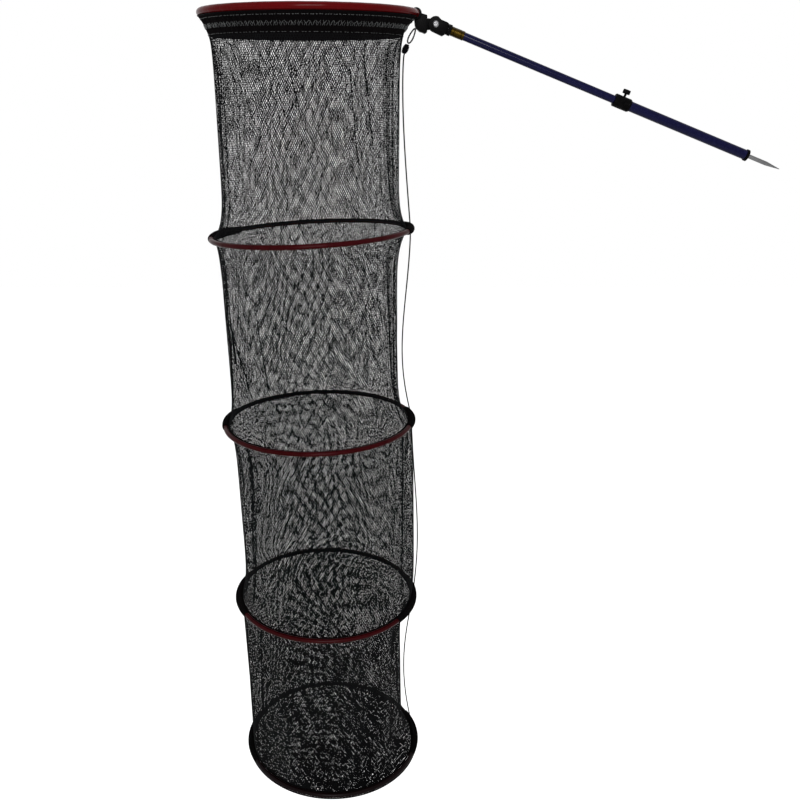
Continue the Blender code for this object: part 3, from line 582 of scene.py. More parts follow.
# The stick's blue enamel over metal, glossy under a clear coat
BLUE = make_finish(
    "blue_enamel",
    ((0.0018, 0.0018, 0.022), (0.004, 0.004, 0.050), 26.0, 1900.0, 0.5),
    ENAMEL_BUMP,
    ((0.02, 0.02, 0.09), 0.24, 200.0, 0.3),
    Coat_Weight=0.06,
    Coat_Roughness=0.08,
    Specular_IOR_Level=0.05,
)


def mesh_data(name, points, faces, smooth=True):
    """A mesh from arrays of points and faces."""
    data = bpy.data.meshes.new(name)
    data.from_pydata(np.asarray(points, float).reshape(-1, 3).tolist(), [], faces)
    if smooth:
        data.shade_smooth()
    return data


def placed(matrix, points):
    """The points, moved by a matrix."""
    place = np.array(matrix)
    return np.asarray(points, float) @ place[:3, :3].T + place[:3, 3]


def add_piece(name, data, body, finish, slot, stands_for=()):
    """An object for the mesh that rides a body, takes a finish and may stand for nodes of the model."""
    made = bpy.data.objects.new(name, data)
    bpy.context.scene.collection.objects.link(made)
    data.materials.append(finish)
    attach(made, body)
    if stands_for:
        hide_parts(*stands_for)
    return made


def joined(name, shapes):
    """One mesh of several, each freed after it is copied in."""
    whole = bmesh.new()
    for shape in shapes:
        whole.from_mesh(shape)
        bpy.data.meshes.remove(shape)
    data = bpy.data.meshes.new(name)
    whole.to_mesh(data)
    whole.free()
    data.shade_smooth()
    return data


def tube_faces(lines, steps, sides, closed=False):
    """The faces of tubes whose points run line by line, step by step and then round each ring."""
    start = np.arange(lines)[:, None, None] * steps * sides
    step = np.arange(steps if closed else steps - 1)[None, :, None]
    side = np.arange(sides)[None, None, :]
    after = (side + 1) % sides
    here, there = start + step * sides, start + (step + 1) % steps * sides
    quads = np.stack(np.broadcast_arrays(here + side, here + after, there + after, there + side), axis=-1)
    faces = quads.reshape(-1, 4).tolist()
    if not closed:
        ring = np.arange(sides)
        first, last = start[:, 0] + ring[::-1], start[:, 0] + (steps - 1) * sides + ring
        faces += first.tolist() + last.tolist()
    return faces


def unit(vectors):
    """The vectors at length one."""
    return vectors / np.maximum(np.linalg.norm(vectors, axis=-1, keepdims=True), 1e-12)


def tangents(lines, closed=False):
    """Unit vectors along lines of points (lines, steps, 3)."""
    if closed:
        return unit(np.roll(lines, -1, axis=1) - np.roll(lines, 1, axis=1))
    return unit(np.gradient(lines, axis=1))


def polar(radius, angle, height):
    """Points about Z."""
    return np.stack(np.broadcast_arrays(radius * np.cos(angle), radius * np.sin(angle), height), axis=-1)


def flat_strands(name, lines, outward, width, depth):
    """Netting strands of three sides: points (lines, steps, 3), with the flat side against the bag."""
    along = tangents(lines)
    across = unit(np.cross(along, outward))
    out = np.cross(across, along)
    left = lines + across * width / 2 - out * depth / 3
    right = lines - across * width / 2 - out * depth / 3
    ridge = lines + out * depth * 2 / 3
    points = np.stack([left, right, ridge], axis=2)
    return mesh_data(name, points, tube_faces(lines.shape[0], lines.shape[1], 3))


def round_tubes(name, lines, radius, sides, closed=False, up=(0.0, 0.0, 1.0)):
    """Round tubes along lines of points (lines, steps, 3); the radius may differ from step to step."""
    lines = np.asarray(lines, float)
    along = tangents(lines, closed)
    across = unit(np.cross(along, np.asarray(up)))
    out = np.cross(across, along)
    angle = FULL_TURN * np.arange(sides) / sides
    radius = np.broadcast_to(np.asarray(radius, float), lines.shape[:2])[..., None, None]
    ring = across[:, :, None] * np.cos(angle)[:, None] - out[:, :, None] * np.sin(angle)[:, None]
    points = lines[:, :, None] + ring * radius
    return mesh_data(name, points, tube_faces(lines.shape[0], lines.shape[1], sides, closed))


def sharpened(data, angle=SHARP_ANGLE):
    """The mesh, smooth but for the edges that turn by more than an angle in degrees."""
    data.shade_smooth()
    data.set_sharp_from_angle(angle=math.radians(angle))
    return data


def lathe(name, profile, steps=64, loop=False):
    """A solid turned about Z from (radius, height) points, run down its outer side, from axis to axis."""
    count = len(profile)
    angle = FULL_TURN * np.arange(steps) / steps
    points = [(r * math.cos(a), r * math.sin(a), z) for a in angle for r, z in profile]
    faces = []
    for step in range(steps):
        here, there = step * count, (step + 1) % steps * count
        for low in range(count if loop else count - 1):
            high = (low + 1) % count
            faces.append((here + low, here + high, there + high, there + low))
    shape = bmesh.new()
    raw = mesh_data(name, points, faces)
    shape.from_mesh(raw)
    bmesh.ops.remove_doubles(shape, verts=shape.verts, dist=WELD)
    bmesh.ops.recalc_face_normals(shape, faces=shape.faces)
    shape.to_mesh(raw)
    shape.free()
    return sharpened(raw)


def softened(profile, edge, steps=3):
    """The profile with each of its corners rounded off by the edge, but not its first and last point."""
    found = [profile[0]]
    for before, corner, after in zip(profile, profile[1:], profile[2:]):
        here = Vector(corner)
        back, on = Vector(before) - here, Vector(after) - here
        reach = min(edge, back.length * SOFTENED_SHARE, on.length * SOFTENED_SHARE)
        start, stop = here + back.normalized() * reach, here + on.normalized() * reach
        for step in range(steps + 1):
            share = step / steps
            found.append(tuple(start.lerp(here, share).lerp(here.lerp(stop, share), share)))
    return found + [profile[-1]]


def plate(name, outline, thickness, edge, segments=4):
    """A flat outline in X and Z, as thick as given along Y, with rounded edges."""
    shape = bmesh.new()
    corners = [shape.verts.new((x, -thickness / 2, z)) for x, z in outline]
    face = shape.faces.new(corners)
    grown = bmesh.ops.extrude_face_region(shape, geom=[face])
    moved = [item for item in grown["geom"] if isinstance(item, bmesh.types.BMVert)]
    bmesh.ops.translate(shape, verts=moved, vec=(0.0, thickness, 0.0))
    bmesh.ops.recalc_face_normals(shape, faces=shape.faces)
    sharp = [e for e in shape.edges if e.calc_face_angle(0.0) > math.radians(BEVEL_ANGLE)]
    bmesh.ops.bevel(shape, geom=sharp, offset=edge, segments=segments, profile=0.5, affect="EDGES")
    data = bpy.data.meshes.new(name)
    shape.to_mesh(data)
    shape.free()
    return sharpened(data)


def arc(radius, start, stop, count, centre=(0.0, 0.0)):
    """Points (x, z) on an arc, its angles in degrees."""
    angles = np.radians(np.linspace(start, stop, count + 1))
    return [(centre[0] + radius * math.cos(a), centre[1] + radius * math.sin(a)) for a in angles]


def cut(data, tool):
    """The mesh with the tool's mesh cut out of it."""
    first = bpy.data.objects.new("cut_piece", data)
    second = bpy.data.objects.new("cut_tool", tool)
    for item in (first, second):
        bpy.context.scene.collection.objects.link(item)
    change = first.modifiers.new("cut", "BOOLEAN")
    change.operation = "DIFFERENCE"
    change.object = second
    bpy.context.view_layer.update()
    made = bpy.data.meshes.new_from_object(first.evaluated_get(bpy.context.evaluated_depsgraph_get()))
    for item in (first, second):
        bpy.data.objects.remove(item)
    bpy.data.meshes.remove(tool)
    made.materials.clear()
    return made


def moved(data, matrix):
    """The mesh, moved by a matrix."""
    data.transform(matrix)
    return data


def lift(height):
    """A move along Z."""
    return Matrix.Translation((0.0, 0.0, height))


def along_y(matrix=Matrix.Identity(4)):
    """A turn that lays a piece built along +Z along -Y, so that its far end faces the front."""
    return matrix @ Matrix.Rotation(math.radians(90.0), 4, "X")


def sleeve(name, matrix, tube, start, stop, steps):
    """A sleeved hoop between two angles, its thickness rippling a little."""
    angle = np.linspace(start, stop, steps + 1)
    ripple = sum(np.sin(count * angle + count) for count in RIPPLE_COUNTS)
    radius = tube / 2 - SLEEVE_RIPPLE * (1.0 + ripple / len(RIPPLE_COUNTS))
    line = polar(RING_RADIUS, angle, 0.0)
    return moved(round_tubes(name, line[None], radius[None], SLEEVE_SIDES), matrix)


def make_hoop():
    """The red sleeved top hoop, its ends in the block."""
    end = math.radians(HOOP_END_ANGLE)
    data = sleeve("hoop_sleeve", HOOP_FRAME, HOOP_TUBE, end, FULL_TURN - end, HOOP_STEPS)
    return add_piece("hoop_sleeve", data, "hoop", RED_SLEEVE, "red_sleeve", ["top_hoop"])


def make_ring(index):
    """A sleeved ring whose ends meet over the plug at the back."""
    body = RING_BODIES[index]
    gap = RING_END_GAP / 2 / RING_RADIUS
    start = math.radians(RING_JOINT_ANGLE) + gap
    stop = start + FULL_TURN - 2 * gap
    data = sleeve(f"{body}_sleeve", RING_FRAMES[index], RING_TUBE, start, stop, RING_STEPS)
    base = body == "base_ring"
    finish, slot = (BLACK_SLEEVE, "black_sleeve") if base else (DARK_SLEEVE, "red_sleeve")
    return add_piece(f"{body}_sleeve", data, body, finish, slot, [body])


def collar_dip(angle):
    """How far the collar is into its dip behind the block, from 0 to 1."""
    turn = np.mod(angle, FULL_TURN)
    off = np.minimum(turn, FULL_TURN - turn) / COLLAR_SPREAD
    return np.exp(-(off**4))


def collar_radius(angle, share):
    """The collar's outer radius: flared over the hoop, drawn in to its foot and in behind the block."""
    flare = (RING_RADIUS + COLLAR_TOP_OUT - COLLAR_FOOT_RADIUS) * share**COLLAR_CURVE
    return RING_RADIUS + COLLAR_TOP_OUT - flare - COLLAR_DIP * collar_dip(angle) * (1.0 - share)


def collar_place(angle, share, lift=0.0):
    """World points on the collar, lifted off its ruffled face."""
    share = np.clip(share, 0.0, 1.0)
    top = COLLAR_RISE + COLLAR_TUCK * collar_dip(angle)
    radius = collar_radius(angle, share) + lift
    fade = np.minimum(1.0, 4.0 * share) * (1.0 - 0.5 * share)
    for count, depth in zip(RUFFLE_COUNTS, RUFFLE_DEPTHS):
        radius = radius + depth * (np.sin(count * angle + 2.0 * np.sin(3 * angle)) - 1.0) * fade
    height = -top - (COLLAR_HEIGHT - top) * share
    x = radius * np.cos(angle) - COLLAR_SHIFT * share
    return placed(HOOP_FRAME, np.stack([x, radius * np.sin(angle), height], axis=-1))


def outward_of(place, angle, share, step=SURFACE_STEP):
    """Unit normals, pointing out, of a surface given by angle and share."""
    round_it = place(angle + step, share) - place(angle - step, share)
    down = place(angle, share + step) - place(angle, share - step)
    return unit(np.cross(down, round_it))


def strayed(column, row):
    """How far a crossing strays from its place, from -1 to 1 across and down, the same each time."""
    found = []
    for across, down, spread in SWIRLS:
        swirl = np.sin(across * column + down * row) * spread
        found.append(2.0 * (swirl - np.floor(swirl)) - 1.0)
    return found


def lattice(name, place, cells_round, cells_down, cover, pitch, depth, stray=0.0):
    """A bag's netting: strands that wind down it both ways and cross at each cell's corners."""
    row = np.arange(cells_down * 2 + 1)[None, :]
    start = 2 * np.arange(cells_round)[:, None]
    column = np.concatenate([start + row, start - row])
    row = np.broadcast_to(row, column.shape)
    across, down = strayed(np.mod(column, 2 * cells_round), row)
    free = stray * np.minimum(1.0, np.minimum(row, 2 * cells_down - row) / 2.0)
    angle = FULL_TURN * (column + across * free) / (2 * cells_round)
    share = np.clip((row + down * free) / (2 * cells_down), 0.0, 1.0)
    inner = np.clip(share, *INNER_SHARES)
    return flat_strands(name, place(angle, share), outward_of(place, angle, inner), cover * pitch, depth)


def cell_pitch(across, down):
    """The distance between neighbouring strands of one lay, for a diamond cell."""
    return across * down / math.hypot(across, down)


def stitches(place, share, count, length, slant, thread):
    """A row of short stitches round a surface, each humped a little, every other one slanting back."""
    number = np.arange(count)[:, None]
    along = np.linspace(-1.0, 1.0, 5)[None, :]
    middle = FULL_TURN * (number + STITCH_STRAY * np.sin(2.3 * number)) / count
    angle = middle + along * length / 2 / RING_RADIUS
    down = share + slant * along * np.where(number % 2, 1.0, -1.0)
    down = down + STITCH_STRAY_SHARE * np.sin(1.7 * number)
    out = outward_of(place, angle, down)
    lines = place(angle, down) + out * thread * (1.0 - along[..., None] ** 2)
    return round_tubes("stitch", lines, thread / 2, 5)


def make_collar():
    """The collar: a ruffled cloth band, dense netting over it, rows of pale stitches whose colour is a
    painted highlight of glints on the gathered net, and a rolled foot.
    """
    angle = np.linspace(0.0, FULL_TURN, LINING_STEPS, endpoint=False)[:, None]
    share = np.linspace(0.0, 1.0, LINING_LEVELS)[None, :]
    angle, share = np.broadcast_arrays(angle, share)
    outer, inner = collar_place(angle, share), collar_place(angle, share, -COLLAR_WALL)
    rings = np.concatenate([outer, inner[:, ::-1]], axis=1)
    faces = tube_faces(1, LINING_STEPS, 2 * LINING_LEVELS, closed=True)
    data = mesh_data("collar_band", rings, faces)
    band = add_piece("collar_cloth", data, "hoop", COLLAR_CLOTH, "netting", ["collar_band"])
    cells_down = round(COLLAR_HEIGHT / COLLAR_CELL_HEIGHT)
    across = FULL_TURN * RING_RADIUS / COLLAR_CELLS
    pitch = cell_pitch(across, COLLAR_CELL_HEIGHT)

    def over(angle, share):
        return collar_place(angle, COLLAR_NET_SHARES[0] + COLLAR_NET_SHARES[1] * share, STRAND_DEPTH / 2)

    def thread_place(angle, share):
        return collar_place(angle, share, COLLAR_LIFT)

    data = lattice("collar_net", over, COLLAR_CELLS, cells_down, COLLAR_COVER, pitch, STRAND_DEPTH)
    net = add_piece("collar_net", data, "hoop", HEM_YARN, "netting")
    # The pale stitch rows: a painted highlight of light glinting on the gathered net
    shapes = [stitches(thread_place, *row) for row in COLLAR_GLINT_ROWS]
    add_piece("collar_glint_stitches", joined("collar_glint_stitches", shapes), "hoop", GLINT_STITCH_YARN, "netting")
    angle = np.linspace(0.0, FULL_TURN, LINING_STEPS, endpoint=False)
    lines = []
    for strand in range(3):
        twist = FOOT_TURNS * angle + FULL_TURN * strand / 3
        line = collar_place(angle, np.ones_like(angle), FOOT_STRAND * np.cos(twist))
        line[:, 2] += FOOT_STRAND * (np.sin(twist) + 1.0)
        lines.append(line)
    data = round_tubes("collar_foot", lines, FOOT_STRAND * FOOT_COVER_SHARE, 5, closed=True)
    add_piece("collar_foot", data, "hoop", HEM_YARN, "netting")
    return band


def hang_point(index, angle, share):
    """Points of the netting about its axis, with the bag's main folds and a set of narrow creases."""
    upper = COLLAR_FOOT_RADIUS if index == 0 else RING_BORE
    top = np.where(share < 0.5, upper, RING_BORE)
    inset = 1.0 - np.abs(2 * share - 1.0) ** EDGE_POWER
    radius = top + (RING_RADIUS - NET_DRAWS[index] - top) * inset
    turn = FOLD_TURNS[index] + FOLD_DRIFT * share
    for count, depth in zip(FOLD_COUNTS, FOLD_DEPTHS):
        radius = radius - inset * depth * (0.5 - 0.5 * np.cos(count * angle + turn * count / 2))
    for crease in range(CREASE_COUNT):
        key = crease + CREASE_COUNT * index
        middle = CREASE_STEP * key + CREASE_DRIFT * math.sin(1.7 * key) * (share - 0.5)
        off = (np.mod(angle - middle + math.pi, FULL_TURN) - math.pi) / CREASE_WIDTH
        side = CREASE_SIDE_SHARES[0] + CREASE_SIDE_SHARES[1] * math.cos(CREASE_STEP * key) ** 2
        fade = CREASE_FADE_SHARES[0] + CREASE_FADE_SHARES[1] * np.sin(2.6 * share + 1.1 * key)
        radius = radius - inset * CREASE_DEPTH * side * fade * np.exp(-off * off)
    x = radius * np.cos(angle) + NET_SHIFTS[index] * inset
    return np.stack([x, radius * np.sin(angle), 0.0 * angle], axis=-1)


def section_ends(index):
    """The frames that a section hangs between."""
    if index == 0:
        upper = HOOP_FRAME @ Matrix.Translation((-COLLAR_SHIFT, 0.0, -COLLAR_HEIGHT - GAP))
    else:
        upper = RING_FRAMES[index - 1] @ lift(-GAP)
    return upper, RING_FRAMES[index] @ lift(GAP)


def pleat(place, top, top_turn, foot, foot_turn, width):
    """A gathered pleat: strands bunched side by side that run down the bag."""
    count = max(2, round(width / PLEAT_PITCH))
    number = np.arange(count)[:, None]
    along = np.linspace(0.0, 1.0, PLEAT_STEPS)[None, :]
    share = top + (foot - top) * along + 0.0 * number
    middle = np.radians(top_turn + (foot_turn - top_turn) * along)
    spread = PLEAT_SPREAD_SHARES[0] + PLEAT_SPREAD_SHARES[1] * np.cos(5.0 * along + top_turn)
    off = ((number + 0.5) / count - 0.5) * spread * width / RING_RADIUS
    angle = middle + off + PLEAT_WOBBLE * np.sin(9.0 * share + 0.7 * number + top_turn)
    out = outward_of(place, angle, share)
    return flat_strands("pleat", place(angle, share), out, PLEAT_STRAND, STRAND_DEPTH)


def make_net_section(index):
    """One hanging section of netting, from one ring to the next, with its pleats."""
    upper, lower = section_ends(index)
    top, foot = upper.translation.z, lower.translation.z

    def place(angle, share):
        flat = hang_point(index, angle, share)
        return placed(upper, flat) * (1.0 - share[..., None]) + placed(lower, flat) * share[..., None]

    cells_down = round((top - foot) / CELL_HEIGHT)
    pitch = cell_pitch(FULL_TURN * (RING_RADIUS - NET_DRAWS[index]) / CELLS_ROUND, CELL_HEIGHT)
    name = f"net_{index + 1}"
    # Denser strands lower down are painted shade, not a denser net
    cover = STRAND_COVERS_WITH_SHADE[index]
    shapes = [lattice(name, place, CELLS_ROUND, cells_down, cover, pitch, STRAND_DEPTH, STRAY_SHARE)]
    shapes += [pleat(place, *row[1:]) for row in PLEATS if row[0] == index]
    body = "hoop" if index == 0 else RING_BODIES[index - 1]
    net = add_piece(name, joined(name, shapes), body, NET_YARN, "netting", [f"net_section_{index + 1}"])
    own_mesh(net)
    return net


def make_tie(side, length):
    """A tie wound round a ring at one side, in the ring's frame, fatter in its middle."""
    turns = round(length / TIE_PITCH)
    along = np.linspace(0.0, 1.0, turns * TIE_POINTS)
    angle = side + (along - 0.5) * length / RING_RADIUS
    wind = FULL_TURN * turns * along
    reach = RING_TUBE / 2 + TIE_STRAND * TIE_COVER_SHARE + TIE_SWELL * np.sin(math.pi * along)
    radius = RING_RADIUS + reach * np.cos(wind)
    line = polar(radius, angle, reach * np.sin(wind))
    up = np.stack([-np.sin(angle), np.cos(angle), 0.0 * angle], axis=-1)[None]
    return round_tubes("tie", line[None], TIE_STRAND, 6, up=up)


def make_hem(index):
    """The gathered hem inside a ring, lashed to the sleeve, and the ties at the ring's two sides."""
    body = RING_BODIES[index]
    steps = HEM_TURNS * HEM_STEPS_PER_TURN
    angle = np.linspace(0.0, FULL_TURN, steps, endpoint=False)
    centre = RING_RADIUS - RING_TUBE / 2 - HEM_RADIUS
    lines = []
    for strand in range(HEM_STRANDS):
        twist = HEM_TURNS * angle + FULL_TURN * strand / HEM_STRANDS + HEM_STRAY * np.sin(5 * angle + strand)
        radius = centre + HEM_BUNDLE * np.cos(twist)
        height = RING_TUBE / 4 + HEM_BUNDLE * np.sin(twist)
        lines.append(polar(radius, angle, height))
    shapes = [round_tubes("hem", lines, HEM_RADIUS * HEM_COVER_SHARE, 5, closed=True)]
    if body == "base_ring":
        shapes.append(base_roll())
    shapes += [make_tie(math.radians(side), length) for side, length in TIES[index]]
    reach = RING_TUBE / 2 + LASH_CORD / 2
    round_it = FULL_TURN * np.arange(LASH_POINTS) / LASH_POINTS
    for lash in range(LASH_COUNT):
        at = FULL_TURN * (lash + LASH_STRAY * math.sin(2.3 * lash)) / LASH_COUNT
        inward = np.where(np.cos(round_it) < 0.0, HEM_RADIUS * LASH_INWARD_SHARE, 0.0)
        radius = RING_RADIUS + (reach + inward) * np.cos(round_it)
        height = reach * np.sin(round_it)
        turn = at + LASH_SLANT * np.sin(round_it)
        loop = polar(radius, turn, height)
        middle = math.atan2(loop[:, 1].mean(), loop[:, 0].mean())
        up = (-math.sin(middle), math.cos(middle), 0.0)
        shapes.append(round_tubes("lash", loop[None], LASH_CORD / 2, 5, closed=True, up=up))
    data = moved(joined(f"{body}_hem", shapes), RING_FRAMES[index])
    return add_piece(f"{body}_hem", data, body, HEM_YARN, "netting")


def base_roll():
    """The thick rolled edge outside and below the base ring, in the ring's frame."""
    angle = np.linspace(0.0, FULL_TURN, RING_STEPS * 2, endpoint=False)
    lines = []
    for strand in range(BASE_HEM_STRANDS):
        twist = BASE_HEM_TURNS * angle + FULL_TURN * strand / BASE_HEM_STRANDS
        radius = RING_RADIUS + RING_TUBE / 3 + BASE_HEM_RADIUS * BASE_HEM_OUT_SHARE * (1.0 + np.cos(twist))
        height = -RING_TUBE / 2 + BASE_HEM_RADIUS * BASE_HEM_DOWN_SHARE * np.sin(twist)
        lines.append(polar(radius, angle, height))
    return round_tubes("roll", lines, BASE_HEM_RADIUS * BASE_HEM_COVER_SHARE, 5, closed=True)


def base_lines(slant, pitch, reach):
    """Parallel strands across the base at a slant in degrees, each cut off at the ring."""
    along = np.array([math.cos(math.radians(slant)), math.sin(math.radians(slant))])
    across = np.array([-along[1], along[0]])
    count = int(reach / pitch)
    for number in range(-count, count + 1):
        off = pitch * number
        half = math.sqrt(max(reach * reach - off * off, 0.0))
        if half < pitch:
            continue
        steps = max(3, round(2 * half / BASE_STRAND_STEP))
        run = np.linspace(-half, half, steps)[:, None]
        stray, _ = strayed(np.arange(steps)[:, None] + 0.5, number + slant)
        stray[[0, -1]] = 0.0
        yield run * along + (off + BASE_STRAY * stray) * across


def base_height(flat, reach):
    """How far the base netting sags at its points."""
    x, y = flat[..., 0], flat[..., 1]
    near = 1.0 - (x * x + y * y) / (reach * reach)
    ruck = RUCK_DEPTHS[0] * np.sin(31.0 * x + 9.0 * np.sin(7.0 * y))
    ruck = ruck + RUCK_DEPTHS[1] * np.sin(44.0 * y - 17.0 * x)
    return -BASE_SAG * near + ruck * np.clip(4.0 * near, 0.0, 1.0)


def base_strand(flat, reach, width, depth, raised=0.0):
    """A strand along flat points, laid on the sagging base."""
    line = np.concatenate([flat, base_height(flat, reach)[:, None] + raised], axis=1)[None]
    out = np.broadcast_to(np.array([0.0, 0.0, 1.0]), line.shape)
    return flat_strands("strand", line, out, width, depth)


def make_base_net():
    """The netting across the base ring, with its sewn tucks."""
    reach = RING_RADIUS - RING_TUBE / 2 - GAP - STRAND_DEPTH
    across = FULL_TURN * RING_RADIUS / CELLS_ROUND
    pitch = cell_pitch(across, CELL_HEIGHT)
    slant = math.degrees(math.atan2(CELL_HEIGHT, across))
    shapes = []
    # The strands' width carries the base's painted shade: a cover denser than the real mesh
    for turn in (slant, -slant):
        for flat in base_lines(turn, pitch, reach):
            shapes.append(base_strand(flat, reach, BASE_COVER_WITH_SHADE * pitch, STRAND_DEPTH))
    for start, stop in BASE_SEAMS:
        along = np.linspace(0.0, 1.0, PLEAT_STEPS)[:, None]
        flat = reach * (np.array(start) + (np.array(stop) - np.array(start)) * along)
        shapes.append(base_strand(flat, reach, BASE_SEAM, BASE_SEAM, STRAND_DEPTH))
    data = moved(joined("base_mesh", shapes), RING_FRAMES[-1])
    net = add_piece("base_mesh", data, "base_ring", NET_YARN, "netting", ["base_net"])
    return net


def strides(path):
    """The distances between a path's neighbouring points."""
    return np.linalg.norm(np.diff(path, axis=0), axis=1)


def laid_cord(name, path, closed=False):
    """Cord of three strands laid round each other along a path of points."""
    path = np.asarray(path, float)
    steps = len(path)
    turns = strides(path).sum() / CORD_LAY
    phase = FULL_TURN * turns * np.arange(steps) / (steps - 1)
    if closed:
        phase = FULL_TURN * max(3, round(turns)) * np.arange(steps) / steps
    along = tangents(path[None], closed)[0]
    across = unit(np.cross(along, (0.0, 1.0, 0.0)))
    other = np.cross(along, across)
    strand = CORD / CORD_TO_STRAND
    lines = []
    for number in range(3):
        turn = (phase + FULL_TURN * number / 3)[:, None]
        lines.append(path + (across * np.cos(turn) + other * np.sin(turn)) * (CORD / 2 - strand))
    return round_tubes(name, lines, strand, 6, closed, up=(0.0, 1.0, 0.0))


def fine_path(corners, step):
    """Evenly spaced points along straight runs between corners."""
    corners = np.asarray(corners, float)
    lengths = np.concatenate([[0.0], np.cumsum(strides(corners))])
    at = np.linspace(0.0, lengths[-1], max(2, round(lengths[-1] / step)) + 1)
    return np.stack([np.interp(at, lengths, corners[:, axis]) for axis in range(3)], axis=-1)


def ring_end(index, side):
    """The world point just above (side 1) or below (side -1) a ring's right-hand end."""
    return RING_FRAMES[index] @ Vector((RING_RADIUS, 0.0, side * (RING_TUBE / 2 + GAP)))


def make_cord_run(number, start, stop, body):
    """A hanging run of the side cord, bowed to the left or right."""
    path = fine_path([start, stop], CORD_LAY / CORD_STEPS_PER_LAY)
    share = np.linspace(0.0, 1.0, len(path))
    path[:, 0] += CORD_BOWS[number - 1] * np.sin(math.pi * share ** CORD_BOW_TURNS[number - 1])
    data = laid_cord(f"cord_run_{number}", path)
    run = add_piece(f"cord_run_{number}", data, body, CORD_YARN, "cord", [f"side_cord_{number}"])
    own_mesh(run)
    return run


def make_side_cord():
    """The slanting loop under the block, the wound knot below it and the cord down the bag's side."""
    x_share, z_share = LOOP_PLACE_SHARES
    lean = math.radians(LOOP_LEAN)
    exit_at = Matrix.Translation((RING_RADIUS + BLOCK_REACH * x_share, 0.0, BLOCK_FOOT * z_share))
    slant = exit_at @ Matrix.Rotation(lean, 4, "Y")
    top = CORD / 2 + LOOP_STAND
    angle = np.linspace(0.0, FULL_TURN, 96, endpoint=False)
    x = LOOP_WIDTH / 2 * np.sin(angle) * (1.0 - LOOP_TAPER_SHARE * np.cos(angle))
    path = np.stack([x, 0.0 * angle, -top - LOOP_HEIGHT / 2 * (1.0 - np.cos(angle))], axis=-1)
    data = moved(laid_cord("loop", path, closed=True), HOOP_FRAME @ slant)
    eye = add_piece("cord_eye", data, "hoop", CORD_YARN, "cord", ["cord_loop"])
    half, tall = KNOT / 2, KNOT_HEIGHT / 2
    place = slant @ Matrix.Translation((0.0, 0.0, -top - LOOP_HEIGHT - CORD / 2 - GAP - tall))
    along = np.linspace(-1.0, 1.0, 40 * KNOT_WRAPS)
    wraps = KNOT_WRAPS * math.pi * along
    reach = (half - CORD / 2) * np.sqrt(1.0 - KNOT_TAPER_SHARE * along**2)
    line = polar(reach, wraps, (tall - CORD / 2) * along)
    core = [(half * out, tall * up) for out, up in KNOT_CORE_SHARES]
    core += [(radius, -height) for radius, height in core[::-1]]
    shapes = [round_tubes("knot", line[None], CORD * KNOT_CORD_SHARE, 8)]
    shapes.append(lathe("core", softened(core, half / 3), 24))
    data = moved(joined("knot", shapes), HOOP_FRAME @ place)
    hitch = add_piece("cord_hitch", data, "hoop", CORD_YARN, "cord", ["cord_knot"])
    low = math.hypot(half * math.sin(lean), tall * math.cos(lean))
    aside = (tall * tall - half * half) * math.sin(lean) * math.cos(lean) / low
    below = HOOP_FRAME @ (place.translation - Vector((aside, 0.0, low + GAP)))
    make_cord_run(1, below, ring_end(0, 1), "hoop")
    for index in range(1, len(RING_BODIES)):
        make_cord_run(index + 1, ring_end(index - 1, -1), ring_end(index, 1), RING_BODIES[index - 1])


def make_block():
    """The moulded block across the hoop's ends, with its tongue for the fork."""
    outline = [(RING_RADIUS + BLOCK_REACH * x, BLOCK_FOOT * z) for x, z in BLOCK_OUTLINE_SHARES]
    body = plate("body", outline, BLOCK_WIDTH, BLOCK_EDGE)
    half = BARREL_LENGTH / 2
    profile = [(0.0, half), (BARREL / 2, half), (BARREL / 2, -half), (0.0, -half)]
    at = along_y(Matrix.Translation((RING_RADIUS, 0.0, 0.0)))
    barrel = moved(lathe("barrel", softened(profile, BLOCK_EDGE)), at)
    root_x = RING_RADIUS + BARREL / 2
    turn = math.degrees(math.atan2(PIVOT_Z, PIVOT_X - root_x))
    outline = arc(TONGUE_RADIUS, turn - 90.0, turn + 90.0, 28, (PIVOT_X, PIVOT_Z))
    outline += [(root_x, PIVOT_Z + TONGUE_RADIUS), (root_x, PIVOT_Z - TONGUE_RADIUS)]
    tongue = plate("tongue", outline, TONGUE_WIDTH, BLOCK_EDGE / 3, 2)
    data = sharpened(moved(joined("block", [body, barrel, tongue]), HOOP_FRAME))
    return add_piece("block", data, "hoop", NYLON, "black_moulding", ["hoop_block"])


def make_fork():
    """The fork: two ears on the block's tongue, a throat, a lower lip and a round neck."""
    outline = arc(EAR_RADIUS, 180.0, 360.0, 32)
    outline += [(FORK_LIP, FORK_LIP_END), (NECK_DIAMETER / 2, NECK_END - OVERRUN)]
    outline += [(-NECK_DIAMETER / 2, NECK_END - OVERRUN), (-FORK_BACK, FORK_LIP_END)]
    outline += [(-FORK_BACK, EAR_RADIUS / 2)]
    shape = plate("ears", outline, 2 * EAR_OUTER, BLOCK_EDGE * EAR_EDGE_SHARE, 3)
    wide = EAR_RADIUS * 2
    throat = [(-wide, -wide), (wide, -wide), (wide, FORK_THROAT), (-wide, FORK_THROAT)]
    shape = cut(shape, plate("throat", throat, 2 * EAR_INNER, GAP, 1))
    length = NECK_END - FORK_THROAT
    profile = [(0.0, length), (NECK_DIAMETER / 2, length), (NECK_DIAMETER / 2, 0.0), (0.0, 0.0)]
    neck = moved(lathe("neck", softened(profile, BLOCK_EDGE / 2)), lift(FORK_THROAT))
    data = sharpened(moved(joined("fork", [shape, neck]), STICK_FRAME))
    return add_piece("fork", data, "tilt_head", NYLON, "black_moulding", ["tilt_fork"])


